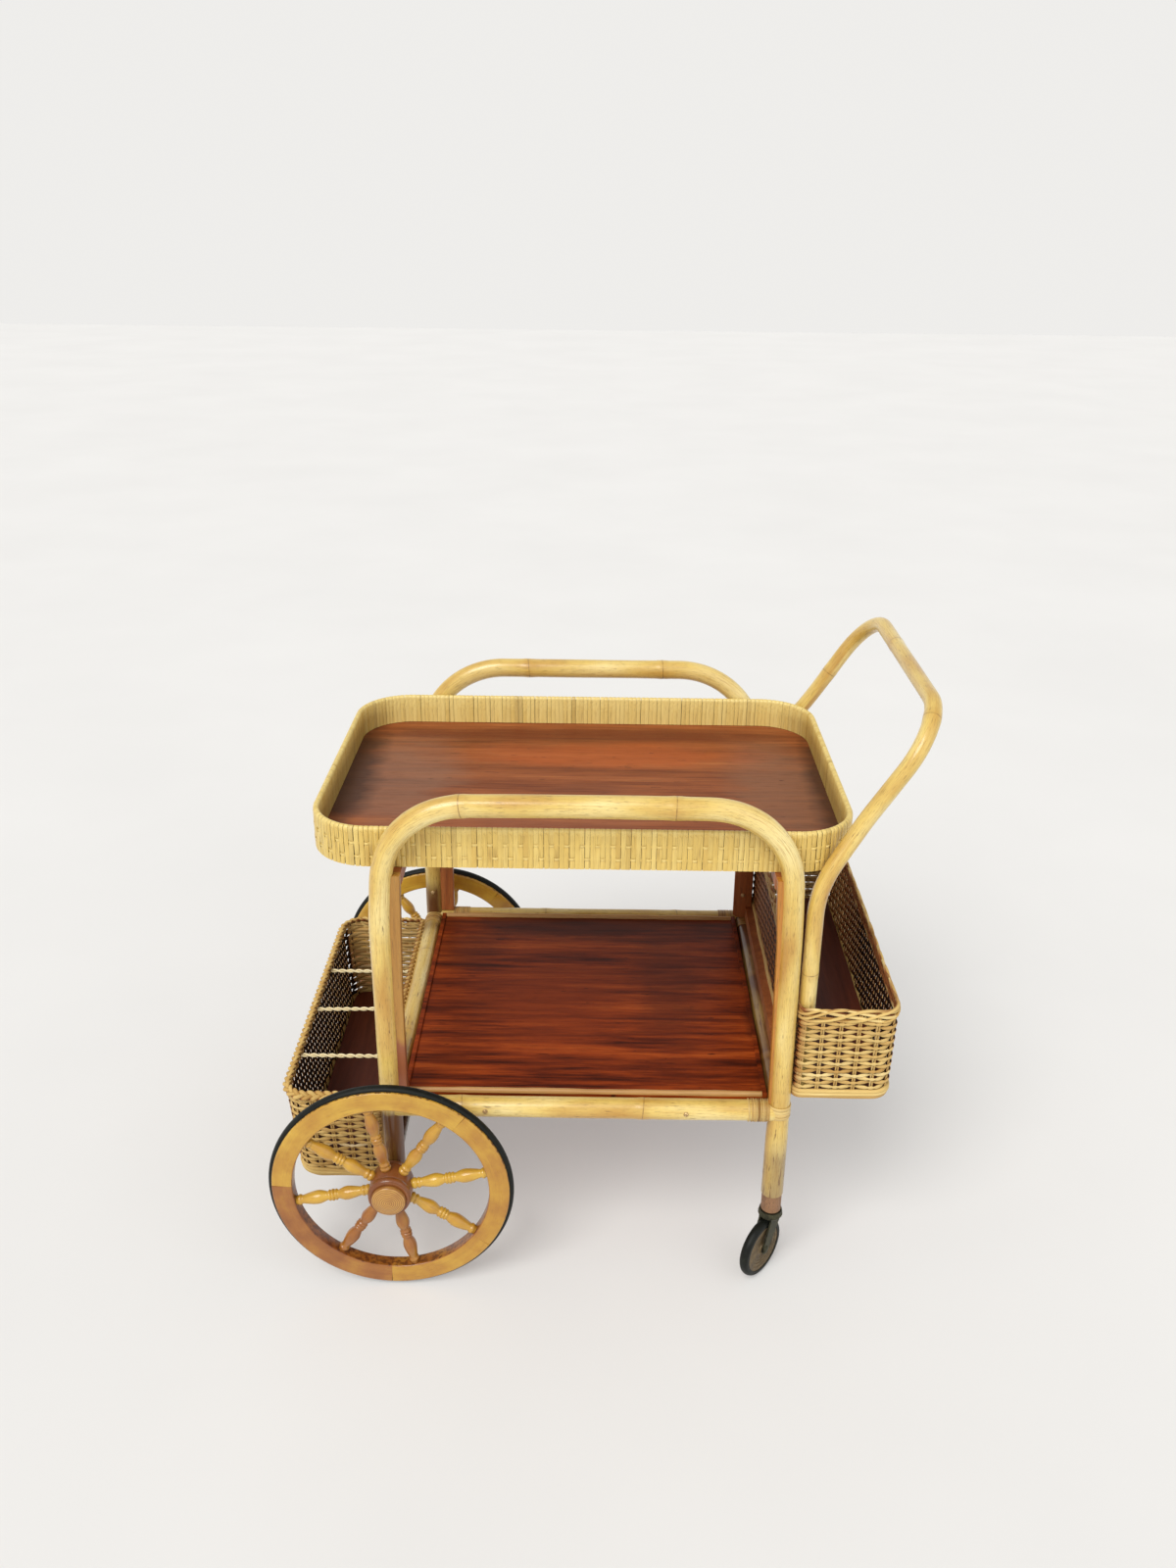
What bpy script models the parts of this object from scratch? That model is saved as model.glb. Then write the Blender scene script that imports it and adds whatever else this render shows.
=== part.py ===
"""Bar cart on wheels: rattan pole frame, lift-off tray, shelf, two baskets,
two spoked wheels and two swivel casters.  Metres, +Z up, X along the cart,
-Y towards the near side.  Every moving piece has its origin on its axis."""
import math

import bmesh
import bpy
from mathutils import Matrix, Vector

# ---------------------------------------------------------------- dimensions
GAP = 0.0003                 # gap between pieces that touch
SHIFT_X = -0.0060            # puts the middle of the whole length at X = 0

POLE_R = 0.0143              # hoops and shelf rails
LEG_X = 0.2585               # leg axes, plus and minus
LEG_Y = 0.2535
HOOP_TOP_Z = 0.706           # axis height of the top bars
HOOP_BEND_R = {"near": 0.111, "far": 0.124}
LEG_LEFT_Z = 0.146           # lower end of the legs that carry the axle
LEG_RIGHT_Z = 0.127          # lower end of the legs above the casters
RAIL_Z = 0.264               # axis height of the four shelf rails
POLE_SIDES = 18

POST_DEPTH = 0.018           # brown posts beside the legs, along Y
POST_W = {"near_left": 0.007, "far_left": 0.014, "near_right": 0.008, "far_right": 0.008}
POST_BACK = 0.0014           # clears the start of the far hoop bend
BEARER_H = 0.018             # bars the tray rests on
BEARER_W = 0.014
BEARER_BACK = 0.0046         # clears the hoop bends
TRAY_Z = 0.613               # underside of the tray

BOARD_T = 0.012
BOARD_TOP_Z = 0.274
LIP_W = 0.006
LIP_H = 0.003
TRIM_W = 0.0085
TRIM_H = 0.006

TRAY_X0 = -0.3514
TRAY_X1 = 0.3364
TRAY_Y = 0.2365
TRAY_H = 0.054
TRAY_R = 0.078
TRAY_WALL = 0.006
TRAY_RIM_W = 0.009
TRAY_RIM_H = 0.007
TRAY_FLOOR_T = 0.008
TRAY_FLOOR_Z = 0.616

BASKET_WALL = 0.004
BASKET_R = 0.024             # corners on the free side
BASKET_R_IN = 0.010          # corners beside the legs
BASKET_RIM_H = 0.011
BASKET_FLOOR_T = 0.008
DIVIDER_R = 0.0024
DIVIDER_Y = (-0.140, -0.025, 0.082)
DIVIDER_Z = 0.2596
LEDGER_X = (0.2600, 0.2726)  # strip between the right cross rail and basket
LEDGER_Z = (0.2790, 0.2990)
LEDGER_Y = 0.2375

HANDLE_R = 0.0109
HANDLE_X = 0.2885            # upright part, standing in the right basket
HANDLE_Y = 0.2445
HANDLE_BEND_Z = 0.596        # where the tubes start to lean out
HANDLE_NECK = (0.3352, 0.2240, 0.672)
HANDLE_BAR_X = 0.4219        # cross bar at the top
HANDLE_BAR_Z = 0.8117
HANDLE_TOP_Y = 0.2230
HANDLE_SIDES = 14

AXLE_X = -0.257
AXLE_R = 0.005
AXLE_REACH = 0.3200          # axle end on the near side
TYRE_R = 0.1638              # big wheel, outside of the tyre
TYRE_T = 0.0050
TYRE_W = 0.0125
RIM_IN_R = 0.131
RIM_OUT_R = 0.1585
RIM_W = 0.019
WHEEL_Y = 0.297              # middle plane of the near wheel
WHEEL_OUT = {"near": 0.0, "far": 0.007}   # the far wheel stands further out
HUB_R = 0.029
HUB_BACK_Y = 0.2695
HUB_FACE_Y = 0.3225
HUB_CAP_Y = 0.3300
HUB_CAP_R = 0.0225
SPOKES = 8
SPOKE_START_DEG = {"near": 11.4, "far": 32.7}
TENON_R = 0.0040
TENON_L = 0.0050
WHEEL_SEGS = 40

CASTER_HEADING_DEG = 229.0   # direction the caster wheels trail in
CASTER_TRAIL = 0.020
CASTER_R = 0.0425
CASTER_TYRE_T = 0.0085
CASTER_W = 0.0130
CASTER_CAP_R = 0.0170
CASTER_CAP_Z0 = 0.0875
CASTER_CAP_Z1 = 0.0980
STEM_R = 0.0050
PIN_R = 0.0030
RUN_FIT = 0.00005            # radial clearance of turning fits
ARM_T = 0.0022
FERRULE_R = 0.0138


# ------------------------------------------------------------------ clearing
for old in list(bpy.data.objects):
    bpy.data.objects.remove(old, do_unlink=True)


# ----------------------------------------------------------------- materials
def material(name, colour, rough, metal=0.0):
    mat = bpy.data.materials.new(name)
    mat.use_nodes = True
    bsdf = mat.node_tree.nodes["Principled BSDF"]
    bsdf.inputs["Base Color"].default_value = (*colour, 1.0)
    bsdf.inputs["Roughness"].default_value = rough
    bsdf.inputs["Metallic"].default_value = metal
    mat.diffuse_color = (*colour, 1.0)
    return mat


POLE = material("rattan_pole", (0.72, 0.54, 0.20), 0.38)
CANE = material("woven_cane", (0.60, 0.42, 0.18), 0.55)
REED = material("basket_reed", (0.52, 0.36, 0.17), 0.60)
TEAK = material("teak_veneer", (0.23, 0.055, 0.022), 0.30)
BROWN = material("brown_wood", (0.26, 0.11, 0.045), 0.50)
TRIM = material("trim_wood", (0.62, 0.40, 0.20), 0.45)
WHEEL = material("wheel_wood", (0.55, 0.27, 0.07), 0.38)
RUBBER = material("tyre_rubber", (0.015, 0.016, 0.016), 0.70)
STEEL = material("axle_steel", (0.35, 0.34, 0.32), 0.40, 1.0)
CASTER = material("caster_metal", (0.055, 0.055, 0.045), 0.50, 0.9)
DISC = material("caster_disc", (0.12, 0.085, 0.045), 0.55)
FERRULE = material("ferrule_brown", (0.20, 0.10, 0.05), 0.50)


# ------------------------------------------------------------------- helpers
def make_object(name, verts, faces, mat, origin=(0.0, 0.0, 0.0), smooth=True, turn=None):
    """Mesh in world coordinates, object origin at `origin`."""
    base = Vector(origin)
    mesh = bpy.data.meshes.new(name)
    rot = turn if turn is not None else Matrix.Identity(3)
    back = rot.inverted()
    mesh.from_pydata([back @ (Vector(v) - base) for v in verts], [], faces)
    mesh.update()
    bm = bmesh.new()
    bm.from_mesh(mesh)
    bmesh.ops.recalc_face_normals(bm, faces=bm.faces)
    bm.to_mesh(mesh)
    bm.free()
    if smooth:
        for poly in mesh.polygons:
            poly.use_smooth = True
        mesh.set_sharp_from_angle(angle=math.radians(38))
    mesh.materials.append(mat)
    obj = bpy.data.objects.new(name, mesh)
    obj.location = base + Vector((SHIFT_X, 0.0, 0.0))
    obj.rotation_euler = rot.to_euler()
    bpy.context.scene.collection.objects.link(obj)
    return obj


def tube_mesh(path, radius, sides, start=None):
    """Round section swept along a list of points with closed flat ends."""
    pts = [Vector(p) for p in path]
    count = len(pts)
    tangents = []
    for i in range(count):
        a = pts[max(i - 1, 0)]
        b = pts[min(i + 1, count - 1)]
        tangents.append((b - a).normalized())
    up = Vector(start) if start is not None else Vector((0.0, 1.0, 0.0))
    normal = (up - tangents[0] * up.dot(tangents[0])).normalized()
    verts = []
    faces = []
    for i in range(count):
        normal = (normal - tangents[i] * normal.dot(tangents[i])).normalized()
        side = tangents[i].cross(normal)
        for k in range(sides):
            ang = 2.0 * math.pi * k / sides
            verts.append(pts[i] + radius * (math.cos(ang) * normal + math.sin(ang) * side))
    for i in range(count - 1):
        for k in range(sides):
            n = (k + 1) % sides
            faces.append((i * sides + k, i * sides + n, (i + 1) * sides + n, (i + 1) * sides + k))
    faces.append(tuple(range(sides)))
    faces.append(tuple((count - 1) * sides + k for k in range(sides)))
    return verts, faces


def lathe_mesh(profile, segs, place):
    """Closed (r, h) outline turned about the local h axis; `place` maps to world.
    Points with r == 0 become single points on the axis."""
    verts = []
    rings = []
    for r, h in profile:
        if r < 1e-9:
            rings.append([len(verts)])
            verts.append(place(0.0, 0.0, h))
        else:
            ids = []
            for k in range(segs):
                ang = 2.0 * math.pi * k / segs
                ids.append(len(verts))
                verts.append(place(r * math.cos(ang), r * math.sin(ang), h))
            rings.append(ids)
    faces = []
    closed = all(len(ring) > 1 for ring in rings)
    total = len(rings) if closed else len(rings) - 1
    for i in range(total):
        a = rings[i]
        b = rings[(i + 1) % len(rings)]
        for k in range(segs):
            n = (k + 1) % segs
            if len(a) == 1 and len(b) == 1:
                continue
            if len(a) == 1:
                faces.append((a[0], b[n], b[k]))
            elif len(b) == 1:
                faces.append((a[k], a[n], b[0]))
            else:
                faces.append((a[k], a[n], b[n], b[k]))
    return verts, faces


def box_mesh(x0, x1, y0, y1, z0, z1):
    verts = [(x, y, z) for z in (z0, z1) for y in (y0, y1) for x in (x0, x1)]
    faces = [(0, 1, 3, 2), (4, 6, 7, 5), (0, 4, 5, 1), (1, 5, 7, 3), (3, 7, 6, 2), (2, 6, 4, 0)]
    return verts, faces


def prism_mesh(outline, place, h0, h1):
    """Flat outline [(a, b)] pushed from h0 to h1; `place(a, b, h)` maps to world."""
    n = len(outline)
    verts = [place(a, b, h0) for a, b in outline] + [place(a, b, h1) for a, b in outline]
    faces = [tuple(range(n)), tuple(range(2 * n - 1, n - 1, -1))]
    for i in range(n):
        j = (i + 1) % n
        faces.append((i, j, n + j, n + i))
    return verts, faces


def rounded_rect(x0, x1, y0, y1, r, steps, r_low=None):
    """Outline with corner radius r; r_low, when given, is used at the x0 side."""
    q = r if r_low is None else r_low
    pts = []
    corners = (
        (x1 - r, y1 - r, r, 0),
        (x0 + q, y1 - q, q, 90),
        (x0 + q, y0 + q, q, 180),
        (x1 - r, y0 + r, r, 270),
    )
    for cx, cy, rad, start in corners:
        for k in range(steps + 1):
            ang = math.radians(start + 90.0 * k / steps)
            pts.append((cx + rad * math.cos(ang), cy + rad * math.sin(ang)))
    return pts


def ring_mesh(loops):
    """Closed band through a list of equal-length loops of 3-D points."""
    n = len(loops[0])
    verts = [p for loop in loops for p in loop]
    faces = []
    for i in range(len(loops)):
        j = (i + 1) % len(loops)
        for k in range(n):
            m = (k + 1) % n
            faces.append((i * n + k, i * n + m, j * n + m, j * n + k))
    return verts, faces


def level(outline, z):
    return [(x, y, z) for x, y in outline]


def cutter(name, verts, faces):
    obj = make_object(name, verts, faces, POLE, smooth=False)
    obj.hide_render = True
    obj.display_type = "WIRE"
    return obj


def boolean(obj, tool, kind):
    mod = obj.modifiers.new(tool.name, "BOOLEAN")
    mod.operation = kind
    mod.object = tool
    mod.solver = "EXACT"
    return mod


def arc(centre, radius, a0, a1, steps):
    """Points (u, w) on an arc, degrees, both ends included."""
    out = []
    for k in range(steps + 1):
        ang = math.radians(a0 + (a1 - a0) * k / steps)
        out.append((centre[0] + radius * math.cos(ang), centre[1] + radius * math.sin(ang)))
    return out


SIDES = {"near": -1.0, "far": 1.0}
ENDS = {"left": -1.0, "right": 1.0}


# ------------------------------------------------------------- hoops and legs
def axle_cutter():
    path = [(AXLE_X, -LEG_Y - 0.03, TYRE_R), (AXLE_X, LEG_Y + 0.03, TYRE_R)]
    verts, faces = tube_mesh(path, AXLE_R + GAP, 12, (0.0, 0.0, 1.0))
    return cutter("cut_axle", verts, faces)


AXLE_CUT = axle_cutter()


def hoop(side, y):
    name = "hoop_" + side
    bend = HOOP_BEND_R[side]
    bend_z = HOOP_TOP_Z - bend
    bend_x = LEG_X - bend
    path = [(-LEG_X, y, LEG_LEFT_Z), (-LEG_X, y, RAIL_Z)]
    path += [(u, y, w) for u, w in arc((-bend_x, bend_z), bend, 180, 90, 7)]
    path += [(u, y, w) for u, w in arc((bend_x, bend_z), bend, 90, 0, 7)]
    path += [(LEG_X, y, RAIL_Z), (LEG_X, y, LEG_RIGHT_Z)]
    verts, faces = tube_mesh(path, POLE_R, POLE_SIDES, (0.0, 1.0, 0.0))
    obj = make_object(name, verts, faces, POLE, (0.0, y, HOOP_TOP_Z))
    boolean(obj, AXLE_CUT, "DIFFERENCE")
    return obj


for side, sign in SIDES.items():
    hoop(side, sign * LEG_Y)


# ---------------------------------------------------------------- shelf rails
LEG_CUTS = {}
for side, sy in SIDES.items():
    for end, sx in ENDS.items():
        lo = (sx * LEG_X, sy * LEG_Y, RAIL_Z - 0.03)
        hi = (sx * LEG_X, sy * LEG_Y, RAIL_Z + 0.03)
        data = tube_mesh([lo, hi], POLE_R + GAP, POLE_SIDES, (0.0, 1.0, 0.0))
        LEG_CUTS[side, end] = cutter("cut_leg_" + side + "_" + end, *data)

RAIL_CUTS = {}
for side, sy in SIDES.items():
    ends = [(-LEG_X - 0.03, sy * LEG_Y, RAIL_Z), (LEG_X + 0.03, sy * LEG_Y, RAIL_Z)]
    data = tube_mesh(ends, POLE_R + GAP, POLE_SIDES, (0.0, 1.0, 0.0))
    RAIL_CUTS[side] = cutter("cut_rail_" + side, *data)

for side, sy in SIDES.items():
    ends = [(-LEG_X, sy * LEG_Y, RAIL_Z), (LEG_X, sy * LEG_Y, RAIL_Z)]
    data = tube_mesh(ends, POLE_R, POLE_SIDES, (0.0, 1.0, 0.0))
    rail = make_object("shelf_rail_" + side, *data, POLE, (0.0, sy * LEG_Y, RAIL_Z))
    for end in ENDS:
        boolean(rail, LEG_CUTS[side, end], "DIFFERENCE")

for end, sx in ENDS.items():
    ends = [(sx * LEG_X, -LEG_Y, RAIL_Z), (sx * LEG_X, LEG_Y, RAIL_Z)]
    data = tube_mesh(ends, POLE_R, POLE_SIDES, (1.0, 0.0, 0.0))
    rail = make_object("cross_rail_" + end, *data, POLE, (sx * LEG_X, 0.0, RAIL_Z))
    for side in SIDES:
        boolean(rail, LEG_CUTS[side, end], "DIFFERENCE")
        boolean(rail, RAIL_CUTS[side], "DIFFERENCE")


# ------------------------------------------------- posts and bars for the tray
POST_Z0 = RAIL_Z + POLE_R + GAP
BEARER_Z1 = TRAY_Z - GAP
BEARER_Z0 = BEARER_Z1 - BEARER_H
FACE_X = LEG_X - POLE_R - GAP

for end, sx in ENDS.items():
    outer = FACE_X - POST_BACK
    for side, sy in SIDES.items():
        xs = sorted((sx * outer, sx * (outer - POST_W[side + "_" + end])))
        ys = sorted((sy * LEG_Y - POST_DEPTH / 2, sy * LEG_Y + POST_DEPTH / 2))
        data = box_mesh(xs[0], xs[1], ys[0], ys[1], POST_Z0, BEARER_Z0 - GAP)
        mid = (sum(xs) / 2, sum(ys) / 2, POST_Z0)
        make_object("post_" + side + "_" + end, *data, BROWN, mid, smooth=False)

for end, sx in ENDS.items():
    xs = sorted((sx * (FACE_X - BEARER_BACK), sx * (FACE_X - BEARER_BACK - BEARER_W)))
    reach = LEG_Y + POST_DEPTH / 2
    data = box_mesh(xs[0], xs[1], -reach, reach, BEARER_Z0, BEARER_Z1)
    make_object("tray_bearer_" + end, *data, BROWN, (sum(xs) / 2, 0.0, BEARER_Z0), smooth=False)


# ---------------------------------------------------------------- shelf board
BX = LEG_X - POLE_R - GAP
BY = LEG_Y - POLE_R - GAP
z0 = BOARD_TOP_Z - BOARD_T
z1 = BOARD_TOP_Z
z2 = BOARD_TOP_Z + LIP_H
section = [(-BX, z0), (BX, z0), (BX, z2), (BX - LIP_W, z2), (BX - LIP_W, z1)]
section += [(-BX + LIP_W, z1), (-BX + LIP_W, z2), (-BX, z2)]
data = prism_mesh(section, lambda a, b, h: (a, h, b), -BY, BY)
make_object("shelf_board", *data, TEAK, (0.0, 0.0, BOARD_TOP_Z), smooth=False)

TRIM_X = BX - LIP_W - GAP
for side, sy in SIDES.items():
    half = TRIM_W / 2
    bow = [(-half, 0.0), (half, 0.0)] + arc((0.0, 0.0), 1.0, 15, 165, 5)
    shape = bow[:2] + [(u * half, w * TRIM_H) for u, w in bow[2:]]
    mid_y = sy * (BY - half)
    base_z = BOARD_TOP_Z + GAP
    data = prism_mesh(shape, lambda a, b, h: (h, mid_y + a, base_z + b), -TRIM_X, TRIM_X)
    make_object("shelf_trim_" + side, *data, TRIM, (0.0, mid_y, base_z))


# ----------------------------------------------------------------------- tray
def band(outer, inner, z_lo, z_hi):
    return ring_mesh([level(outer, z_lo), level(outer, z_hi), level(inner, z_hi), level(inner, z_lo)])


def tray_outline(inset):
    r = TRAY_R - inset
    return rounded_rect(TRAY_X0 + inset, TRAY_X1 - inset, -TRAY_Y + inset, TRAY_Y - inset, r, 6)


TRAY_TOP = TRAY_Z + TRAY_H
TRAY_MID = ((TRAY_X0 + TRAY_X1) / 2, 0.0, TRAY_Z)
wall_in = TRAY_WALL + 0.001
data = band(tray_outline(0.001), tray_outline(wall_in), TRAY_Z, TRAY_TOP - TRAY_RIM_H - GAP)
make_object("tray_wall", *data, CANE, TRAY_MID)

rim_z = TRAY_TOP - TRAY_RIM_H
rim_loops = [
    level(tray_outline(0.0), rim_z),
    level(tray_outline(0.0), rim_z + TRAY_RIM_H * 0.55),
    level(tray_outline(0.0025), TRAY_TOP),
    level(tray_outline(TRAY_RIM_W - 0.0025), TRAY_TOP),
    level(tray_outline(TRAY_RIM_W), rim_z + TRAY_RIM_H * 0.55),
    level(tray_outline(TRAY_RIM_W), rim_z),
]
make_object("tray_rim", *ring_mesh(rim_loops), CANE, TRAY_MID)

data = prism_mesh(
    tray_outline(wall_in + GAP),
    lambda a, b, h: (a, b, h),
    TRAY_FLOOR_Z,
    TRAY_FLOOR_Z + TRAY_FLOOR_T,
)
make_object("tray_floor", *data, TEAK, TRAY_MID)


# -------------------------------------------------------------------- baskets
def basket(name, x_in, x_out, half_y, z_lo, z_hi, taper):
    """Open woven box against the frame at x_in; x_out is its free side.
    The inner side is upright, the other three lean out by `taper`."""
    sx = 1.0 if x_out > x_in else -1.0
    x_in = x_in + sx * GAP

    def outline(z, inset, grow):
        lean = taper * (z - z_lo) / (z_hi - z_lo) - taper + grow
        a = x_in + sx * inset
        b = x_out + sx * (lean - inset)
        y = half_y + lean - inset
        pts = rounded_rect(0.0, abs(b - a), -y, y, BASKET_R - inset, 4, BASKET_R_IN - inset)
        return [(a + sx * u, w) for u, w in pts]

    wall_top = z_hi - BASKET_RIM_H
    loops = [
        level(outline(z_lo, 0.0, 0.0), z_lo),
        level(outline(wall_top, 0.0, 0.0), wall_top - GAP),
        level(outline(wall_top, BASKET_WALL, 0.0), wall_top - GAP),
        level(outline(z_lo, BASKET_WALL, 0.0), z_lo),
    ]
    mid = ((x_in + x_out) / 2, 0.0, z_lo)
    make_object(name + "_wall", *ring_mesh(loops), REED, mid)

    grow = 0.003
    rim = [
        level(outline(z_hi, 0.0, grow), wall_top),
        level(outline(z_hi, 0.0, grow), z_hi - 0.003),
        level(outline(z_hi, 0.0012, grow), z_hi),
        level(outline(z_hi, BASKET_WALL - 0.0012, 0.0), z_hi),
        level(outline(z_hi, BASKET_WALL, 0.0), z_hi - 0.003),
        level(outline(z_hi, BASKET_WALL, 0.0), wall_top),
    ]
    make_object(name + "_rim", *ring_mesh(rim), REED, mid)

    f0 = z_lo + 0.004
    f1 = f0 + BASKET_FLOOR_T
    low = outline(f0, BASKET_WALL + GAP, 0.0)
    high = outline(f0, BASKET_WALL + GAP, 0.0)
    loops = [level(low, f0), level(high, f1)]
    n = len(low)
    verts = loops[0] + loops[1]
    faces = [tuple(range(n)), tuple(range(2 * n - 1, n - 1, -1))]
    faces += [(i, (i + 1) % n, n + (i + 1) % n, n + i) for i in range(n)]
    make_object(name + "_floor", verts, faces, TEAK, mid)
    return f1


FRAME_OUT = LEG_X + POLE_R
basket("basket_left", -FRAME_OUT, -0.4080, 0.2370, 0.1180, 0.2700, 0.010)
RIGHT_FLOOR = basket("basket_right", FRAME_OUT, 0.4040, 0.2650, 0.2915, 0.4320, 0.002)
data = box_mesh(*LEDGER_X, -LEDGER_Y, LEDGER_Y, *LEDGER_Z)
ledger_mid = (sum(LEDGER_X) / 2, 0.0, LEDGER_Z[0])
make_object("basket_ledger", *data, BROWN, ledger_mid, smooth=False)

for index, y in enumerate(DIVIDER_Y):
    ends = [(-0.4080 + BASKET_WALL + 0.0016, y, DIVIDER_Z), (-FRAME_OUT - BASKET_WALL - 2 * GAP, y, DIVIDER_Z)]
    data = tube_mesh(ends, DIVIDER_R, 8, (0.0, 0.0, 1.0))
    make_object("basket_divider_" + str(index + 1), *data, CANE, (ends[0][0], y, DIVIDER_Z))


# --------------------------------------------------------------------- handle
def rounded_path(points, cuts, steps):
    """Polyline whose inner corners become arcs starting `cuts` before the corner."""
    pts = [Vector(q) for q in points]
    out = [pts[0]]
    for i in range(1, len(pts) - 1):
        u = (pts[i - 1] - pts[i]).normalized()
        w = (pts[i + 1] - pts[i]).normalized()
        half = u.angle(w) / 2
        centre = pts[i] + (u + w).normalized() * (cuts[i - 1] / math.cos(half))
        a = pts[i] + u * cuts[i - 1] - centre
        b = pts[i] + w * cuts[i - 1] - centre
        whole = a.angle(b)
        for k in range(steps[i - 1] + 1):
            t = k / steps[i - 1]
            mix = a * math.sin((1 - t) * whole) + b * math.sin(t * whole)
            out.append(centre + mix / math.sin(whole))
    out.append(pts[-1])
    return [tuple(q) for q in out]


def handle_path():
    half = [
        (HANDLE_X, -HANDLE_Y, RIGHT_FLOOR + GAP),
        (HANDLE_X, -HANDLE_Y, HANDLE_BEND_Z),
        (HANDLE_NECK[0], -HANDLE_NECK[1], HANDLE_NECK[2]),
        (HANDLE_BAR_X, -HANDLE_TOP_Y, HANDLE_BAR_Z),
    ]
    points = half + [(x, -y, z) for x, y, z in reversed(half)]
    cuts = [0.040, 0.025, 0.078, 0.078, 0.025, 0.040]
    steps = [4, 2, 7, 7, 2, 4]
    return rounded_path(points, cuts, steps)


data = tube_mesh(handle_path(), HANDLE_R, HANDLE_SIDES, (0.0, 1.0, 0.0))
make_object("push_handle", *data, POLE, (HANDLE_X, 0.0, RIGHT_FLOOR))


# ------------------------------------------------------------ axle and wheels
near_end = (AXLE_X, -AXLE_REACH, TYRE_R)
far_end = (AXLE_X, AXLE_REACH + WHEEL_OUT["far"], TYRE_R)
data = tube_mesh([near_end, far_end], AXLE_R, 16, (0.0, 0.0, 1.0))
make_object("axle", *data, STEEL, (AXLE_X, 0.0, TYRE_R))

SPOKE_PROFILE = (
    (0.000, 0.0058),
    (0.050, 0.0066),
    (0.200, 0.0084),
    (0.360, 0.0062),
    (0.430, 0.0050),
    (0.465, 0.0080),
    (0.500, 0.0068),
    (0.535, 0.0080),
    (0.570, 0.0050),
    (0.640, 0.0062),
    (0.800, 0.0084),
    (0.950, 0.0066),
    (1.000, 0.0058),
)


def big_wheel(side, sy):
    shift = WHEEL_OUT[side]
    centre = (AXLE_X, sy * (WHEEL_Y + shift), TYRE_R)

    def place(a, b, h):
        return (AXLE_X + a, sy * (h + shift), TYRE_R + b)

    bore = AXLE_R + RUN_FIT
    end = AXLE_REACH + 0.0008
    hub = [
        (bore, HUB_BACK_Y),
        (0.0200, HUB_BACK_Y),
        (0.0235, HUB_BACK_Y + 0.006),
        (0.0265, HUB_BACK_Y + 0.010),
        (HUB_R, HUB_BACK_Y + 0.015),
        (HUB_R, HUB_FACE_Y - 0.008),
        (0.0270, HUB_FACE_Y),
        (HUB_CAP_R + 0.0015, HUB_FACE_Y),
        (HUB_CAP_R, HUB_CAP_Y - 0.003),
        (HUB_CAP_R - 0.004, HUB_CAP_Y),
        (0.0, HUB_CAP_Y + 0.001),
        (0.0, end),
        (bore, end),
    ]
    rings = hub[:11]
    verts, faces = lathe_mesh(rings, 24, place)
    bore_v, bore_f = lathe_mesh([hub[11], hub[12], hub[0]], 24, place)
    offset = len(verts)
    verts = verts + bore_v
    faces = faces + [tuple(i + offset for i in f) for f in bore_f]
    hub_obj = make_object("wheel_" + side + "_hub", verts, faces, WHEEL, centre)
    bm = bmesh.new()
    bm.from_mesh(hub_obj.data)
    bmesh.ops.remove_doubles(bm, verts=bm.verts, dist=1e-6)
    bmesh.ops.recalc_face_normals(bm, faces=bm.faces)
    bm.to_mesh(hub_obj.data)
    bm.free()

    y_lo = WHEEL_Y - RIM_W / 2
    y_hi = WHEEL_Y + RIM_W / 2
    soft = 0.0018
    rim = [
        (RIM_IN_R, y_lo + soft),
        (RIM_IN_R + soft, y_lo),
        (RIM_OUT_R - soft, y_lo),
        (RIM_OUT_R, y_lo + soft),
        (RIM_OUT_R, y_hi - soft),
        (RIM_OUT_R - soft, y_hi),
        (RIM_IN_R + soft, y_hi),
        (RIM_IN_R, y_hi - soft),
    ]
    rim_obj = make_object("wheel_" + side + "_rim", *lathe_mesh(rim, WHEEL_SEGS, place), WHEEL, centre)

    t_in = RIM_OUT_R + GAP
    tyre = [
        (t_in, WHEEL_Y - TYRE_W / 2),
        (TYRE_R - TYRE_T * 0.45, WHEEL_Y - TYRE_W / 2),
        (TYRE_R, WHEEL_Y - TYRE_W * 0.22),
        (TYRE_R, WHEEL_Y + TYRE_W * 0.22),
        (TYRE_R - TYRE_T * 0.45, WHEEL_Y + TYRE_W / 2),
        (t_in, WHEEL_Y + TYRE_W / 2),
    ]
    make_object("wheel_" + side + "_tyre", *lathe_mesh(tyre, WHEEL_SEGS, place), RUBBER, centre)

    r0 = HUB_R + GAP
    r1 = RIM_IN_R * math.cos(math.pi / WHEEL_SEGS) - GAP
    profile = [(0.0, r0 - TENON_L), (TENON_R, r0 - TENON_L), (TENON_R, r0)]
    profile += [(r, r0 + t * (r1 - r0)) for t, r in SPOKE_PROFILE]
    profile += [(TENON_R, r1), (TENON_R, r1 + TENON_L), (0.0, r1 + TENON_L)]
    socket = [(0.0, r0 - TENON_L - GAP), (TENON_R + GAP, r0 - TENON_L - GAP)]
    socket += [(TENON_R + GAP, r1 + TENON_L + GAP), (0.0, r1 + TENON_L + GAP)]
    for k in range(SPOKES):
        ang = math.radians(SPOKE_START_DEG[side] + 360.0 * k / SPOKES)
        out = Vector((math.cos(ang), 0.0, math.sin(ang)))
        across = Vector((-math.sin(ang), 0.0, math.cos(ang)))
        base = Vector(centre)

        def place_spoke(a, b, h):
            return tuple(base + out * h + across * a + Vector((0.0, 1.0, 0.0)) * b)

        name = "wheel_" + side + "_spoke_" + str(k + 1)
        make_object(name, *lathe_mesh(profile, 8, place_spoke), WHEEL, centre)
        tool = cutter("cut_" + name, *lathe_mesh(socket, 8, place_spoke))
        boolean(hub_obj, tool, "DIFFERENCE")
        boolean(rim_obj, tool, "DIFFERENCE")


for side, sy in SIDES.items():
    big_wheel(side, sy)


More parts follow.
